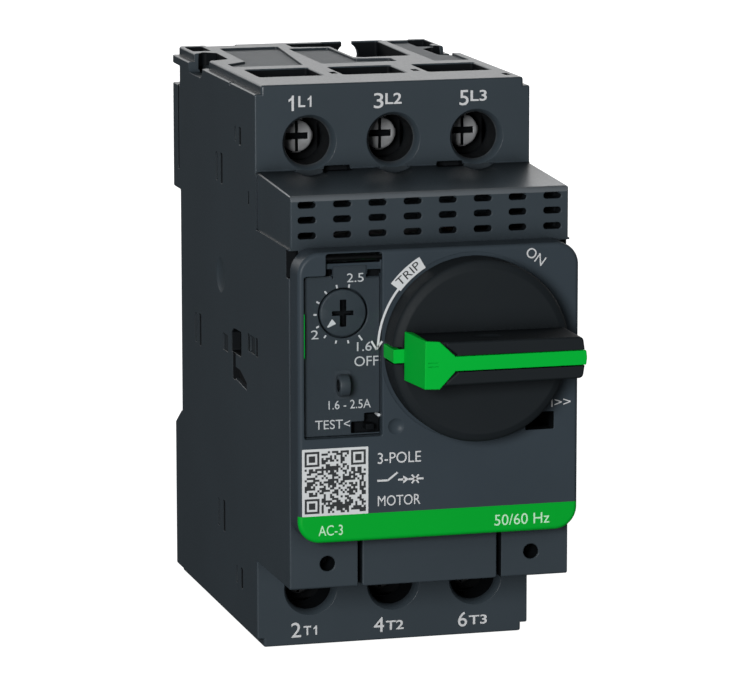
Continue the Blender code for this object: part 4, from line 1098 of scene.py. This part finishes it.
# Square label with made-up squares, and a nested square in three of its corners
LABEL_X, LABEL_Z, LABEL_SIDE, SQUARES = -21.55, -18.0, 10.35, 29
MARGIN = 1.2  # in squares
cell = LABEL_SIDE / (SQUARES + 2 * MARGIN)
printed("label_field", [flat(rounded(LABEL_X, LABEL_X + LABEL_SIDE, LABEL_Z,
                                     LABEL_Z + LABEL_SIDE, 0.1), COVER_Y)], PRINT_PALE)
rng = random.Random(11)
grid = [[rng.random() < 0.56 for _ in range(SQUARES)] for _ in range(SQUARES)]
for column, row in ((0, 0), (0, SQUARES - 7), (SQUARES - 7, SQUARES - 7)):
    for i in range(-1, 8):
        for j in range(-1, 8):
            if 0 <= column + i < SQUARES and 0 <= row + j < SQUARES:
                ring = max(abs(i - 3), abs(j - 3))
                grid[column + i][row + j] = ring == 3 or ring <= 1
# Dark squares that touch in a column are printed as one bar
cells = []
for i in range(SQUARES):
    j = 0
    while j < SQUARES:
        if grid[i][j]:
            k = j
            while k < SQUARES and grid[i][k]:
                k += 1
            x, z = LABEL_X + cell * (MARGIN + i), LABEL_Z + cell * (MARGIN + j)
            cells.append(box(x, x + cell, COVER_Y - 0.05, COVER_Y - 0.02, z, z + cell * (k - j)))
            j = k
        j += 1
printed("label_squares", cells, PRINT_DARK)

# Lower front
text_mark("mark_poles", "3-POLE", -9.7, -2.9, -10.45, -8.75, COVER_Y, PRINT)
text_mark("mark_motor", "MOTOR", -9.7, -3.0, -17.0, -15.4, COVER_Y, PRINT)
z = -13.05
printed("mark_symbol", [
    bar(-9.8, z, -8.1, z, 0.3), bar(-8.1, z, -6.6, z + 1.15, 0.3), bar(-6.5, z, -5.5, z, 0.3),
    bar(-4.9, z, -2.5, z, 0.3), bar(-4.35, z - 0.65, -3.25, z + 0.65, 0.26),
    bar(-4.35, z + 0.65, -3.25, z - 0.65, 0.26),
    flat([(-5.7, z - 0.6), (-4.8, z), (-5.7, z + 0.6)], COVER_Y)], PRINT)
text_mark("mark_band_left", "AC-3", -19.0, -15.2, -21.1, -19.5, COVER_Y, PRINT_ON_GREEN)
text_mark("mark_band_right", "50/60 Hz", 8.8, 17.6, -21.1, -19.4, COVER_Y, PRINT_ON_GREEN)

# ---- parts inside, kept as they are in the frame: finish by the start of their name -----------
INNER_FINISHES = {
    "moving_bridge": COPPER, "line_contact": COPPER, "load_contact": COPPER,
    "load_terminal": COPPER, "trip_coil": COPPER, "bimetal": BIMETAL, "arc_chute": INSULATOR,
    "trip_plunger": STEEL, "mechanism_frame": STEEL_DULL, "bearing_plate": STEEL_DULL,
    "drive_shaft": STEEL_DULL, "contact_carrier": CARRIER, "trip_slider": CARRIER,
    "trip_bar": CARRIER}
for name, obj in NODES.items():
    if obj.hide_render:
        continue
    obj.data.materials.clear()
    obj.data.materials.append(
        next(mat for start, mat in INNER_FINISHES.items() if name.startswith(start)))
    mod = obj.modifiers.new("edges", "BEVEL")
    mod.width, mod.segments = 0.00012, 2
    mod.limit_method, mod.angle_limit = "ANGLE", math.radians(40)

# ---- floor ------------------------------------------------------------------------------------
scene = bpy.context.scene
FLOOR_Z, FLOOR_HALF = -CROWN_Z - 0.02, 4000
corners = rect(-FLOOR_HALF, FLOOR_HALF, -FLOOR_HALF, FLOOR_HALF)
floor = make("floor", [([(x, y, FLOOR_Z) for x, y in corners], [(0, 1, 2, 3)])])
mat, tree, bsdf = new_finish("finish_floor")
cloud = noise(tree, object_coord(tree), scale=4.0)
feed(tree, bsdf.inputs["Base Color"], blend(tree, cloud, (0.30, 0.30, 0.305), (0.32, 0.32, 0.32)))
bsdf.inputs["Roughness"].default_value = 0.9
bsdf.inputs[SPECULAR].default_value = 0.0
bsdf.inputs["Emission Color"].default_value = (1.0, 1.0, 1.0, 1.0)
bsdf.inputs["Emission Strength"].default_value = 0.96
floor.data.materials.append(mat)
floor.visible_glossy = floor.visible_diffuse = floor.visible_shadow = False

# ---- world ------------------------------------------------------------------------------------
# Strengths seen in reflections, of the light on surfaces, and of the backdrop
GLOW_BEHIND, GLOW_ABOVE, GLOW_AROUND = 2.5, 0.08, 0.02
AMBIENT, AMBIENT_FRONT = 0.06, 0.2
BACKDROP = 1.25
world = bpy.data.worlds.new("studio")
scene.world = world
world.use_nodes = True
tree = world.node_tree
tree.nodes.clear()
split = add(tree, "SeparateXYZ", Vector=add(tree, "TexCoord").outputs["Generated"])
depth, height = split.outputs["Y"], split.outputs["Z"]
rays = add(tree, "LightPath")
# Reflections: a low glow behind the product, fading upwards, and a weak one above
behind = combine(tree, "MULTIPLY", ranged(tree, depth, span=(0.0, 0.6)),
                 ranged(tree, height, span=(0.03, 0.2)))
behind = combine(tree, "MULTIPLY", behind, ranged(tree, height, to=(1.0, 0.0), span=(0.35, 0.7)))
above = ranged(tree, height, span=(0.3, 0.95))
glossy = combine(tree, "ADD", combine(tree, "MULTIPLY", behind, GLOW_BEHIND),
                 combine(tree, "MULTIPLY", above, GLOW_ABOVE))
glossy = combine(tree, "ADD", glossy, GLOW_AROUND)
# Diffuse light: stronger from the front
front = ranged(tree, depth, to=(1.0, 0.0), span=(-0.8, 0.3))
soft = combine(tree, "ADD", combine(tree, "MULTIPLY", front, AMBIENT_FRONT), AMBIENT)
light = mix(tree, "FLOAT", rays.outputs["Is Diffuse Ray"], glossy, soft)
strength = mix(tree, "FLOAT", rays.outputs["Is Camera Ray"], light, BACKDROP)
sky = add(tree, "Background", Strength=strength)
add(tree, "OutputWorld", Surface=sky.outputs["Background"])


# ---- lamps and camera, in metres --------------------------------------------------------------
def lamp(name, spot, size, power):
    """A square lamp aimed at the product."""
    data = bpy.data.lights.new(name, "AREA")
    data.shape, data.size, data.energy = "SQUARE", size, power
    obj = bpy.data.objects.new(name, data)
    scene.collection.objects.link(obj)
    obj.location = spot
    obj.rotation_mode = "QUATERNION"
    aim = Vector((0, -0.04, 0)) - Vector(spot)
    obj.rotation_quaternion = aim.to_track_quat("-Z", "Y")
    return obj


lamp("key", spot=(-0.48, -0.93, 0.20), size=0.3, power=10.5)
fill = lamp("back_fill", spot=(0.45, 1.0, 0.35), size=0.6, power=8.0)
fill.visible_glossy = False

CAMERA_SPOT = (-0.1904535, -0.7330879, 0.1298924)
CAMERA_RIGHT = Vector((0.964706555, -0.263325916, -0.000850782))
CAMERA_UP = Vector((0.04751567, 0.17089616, 0.98414265))
CAMERA_AHEAD = Vector((0.25900487, 0.94944929, -0.17737676))
data = bpy.data.cameras.new("camera")
data.sensor_width, data.lens = 36.0, 225.766
data.clip_start, data.clip_end = 0.05, 20.0
camera = bpy.data.objects.new("camera", data)
scene.collection.objects.link(camera)
turn = Matrix((CAMERA_RIGHT, CAMERA_UP, -CAMERA_AHEAD)).transposed().to_4x4()
camera.matrix_world = Matrix.Translation(CAMERA_SPOT) @ turn
scene.camera = camera
scene.view_settings.view_transform = "Standard"

bpy.context.view_layer.update()
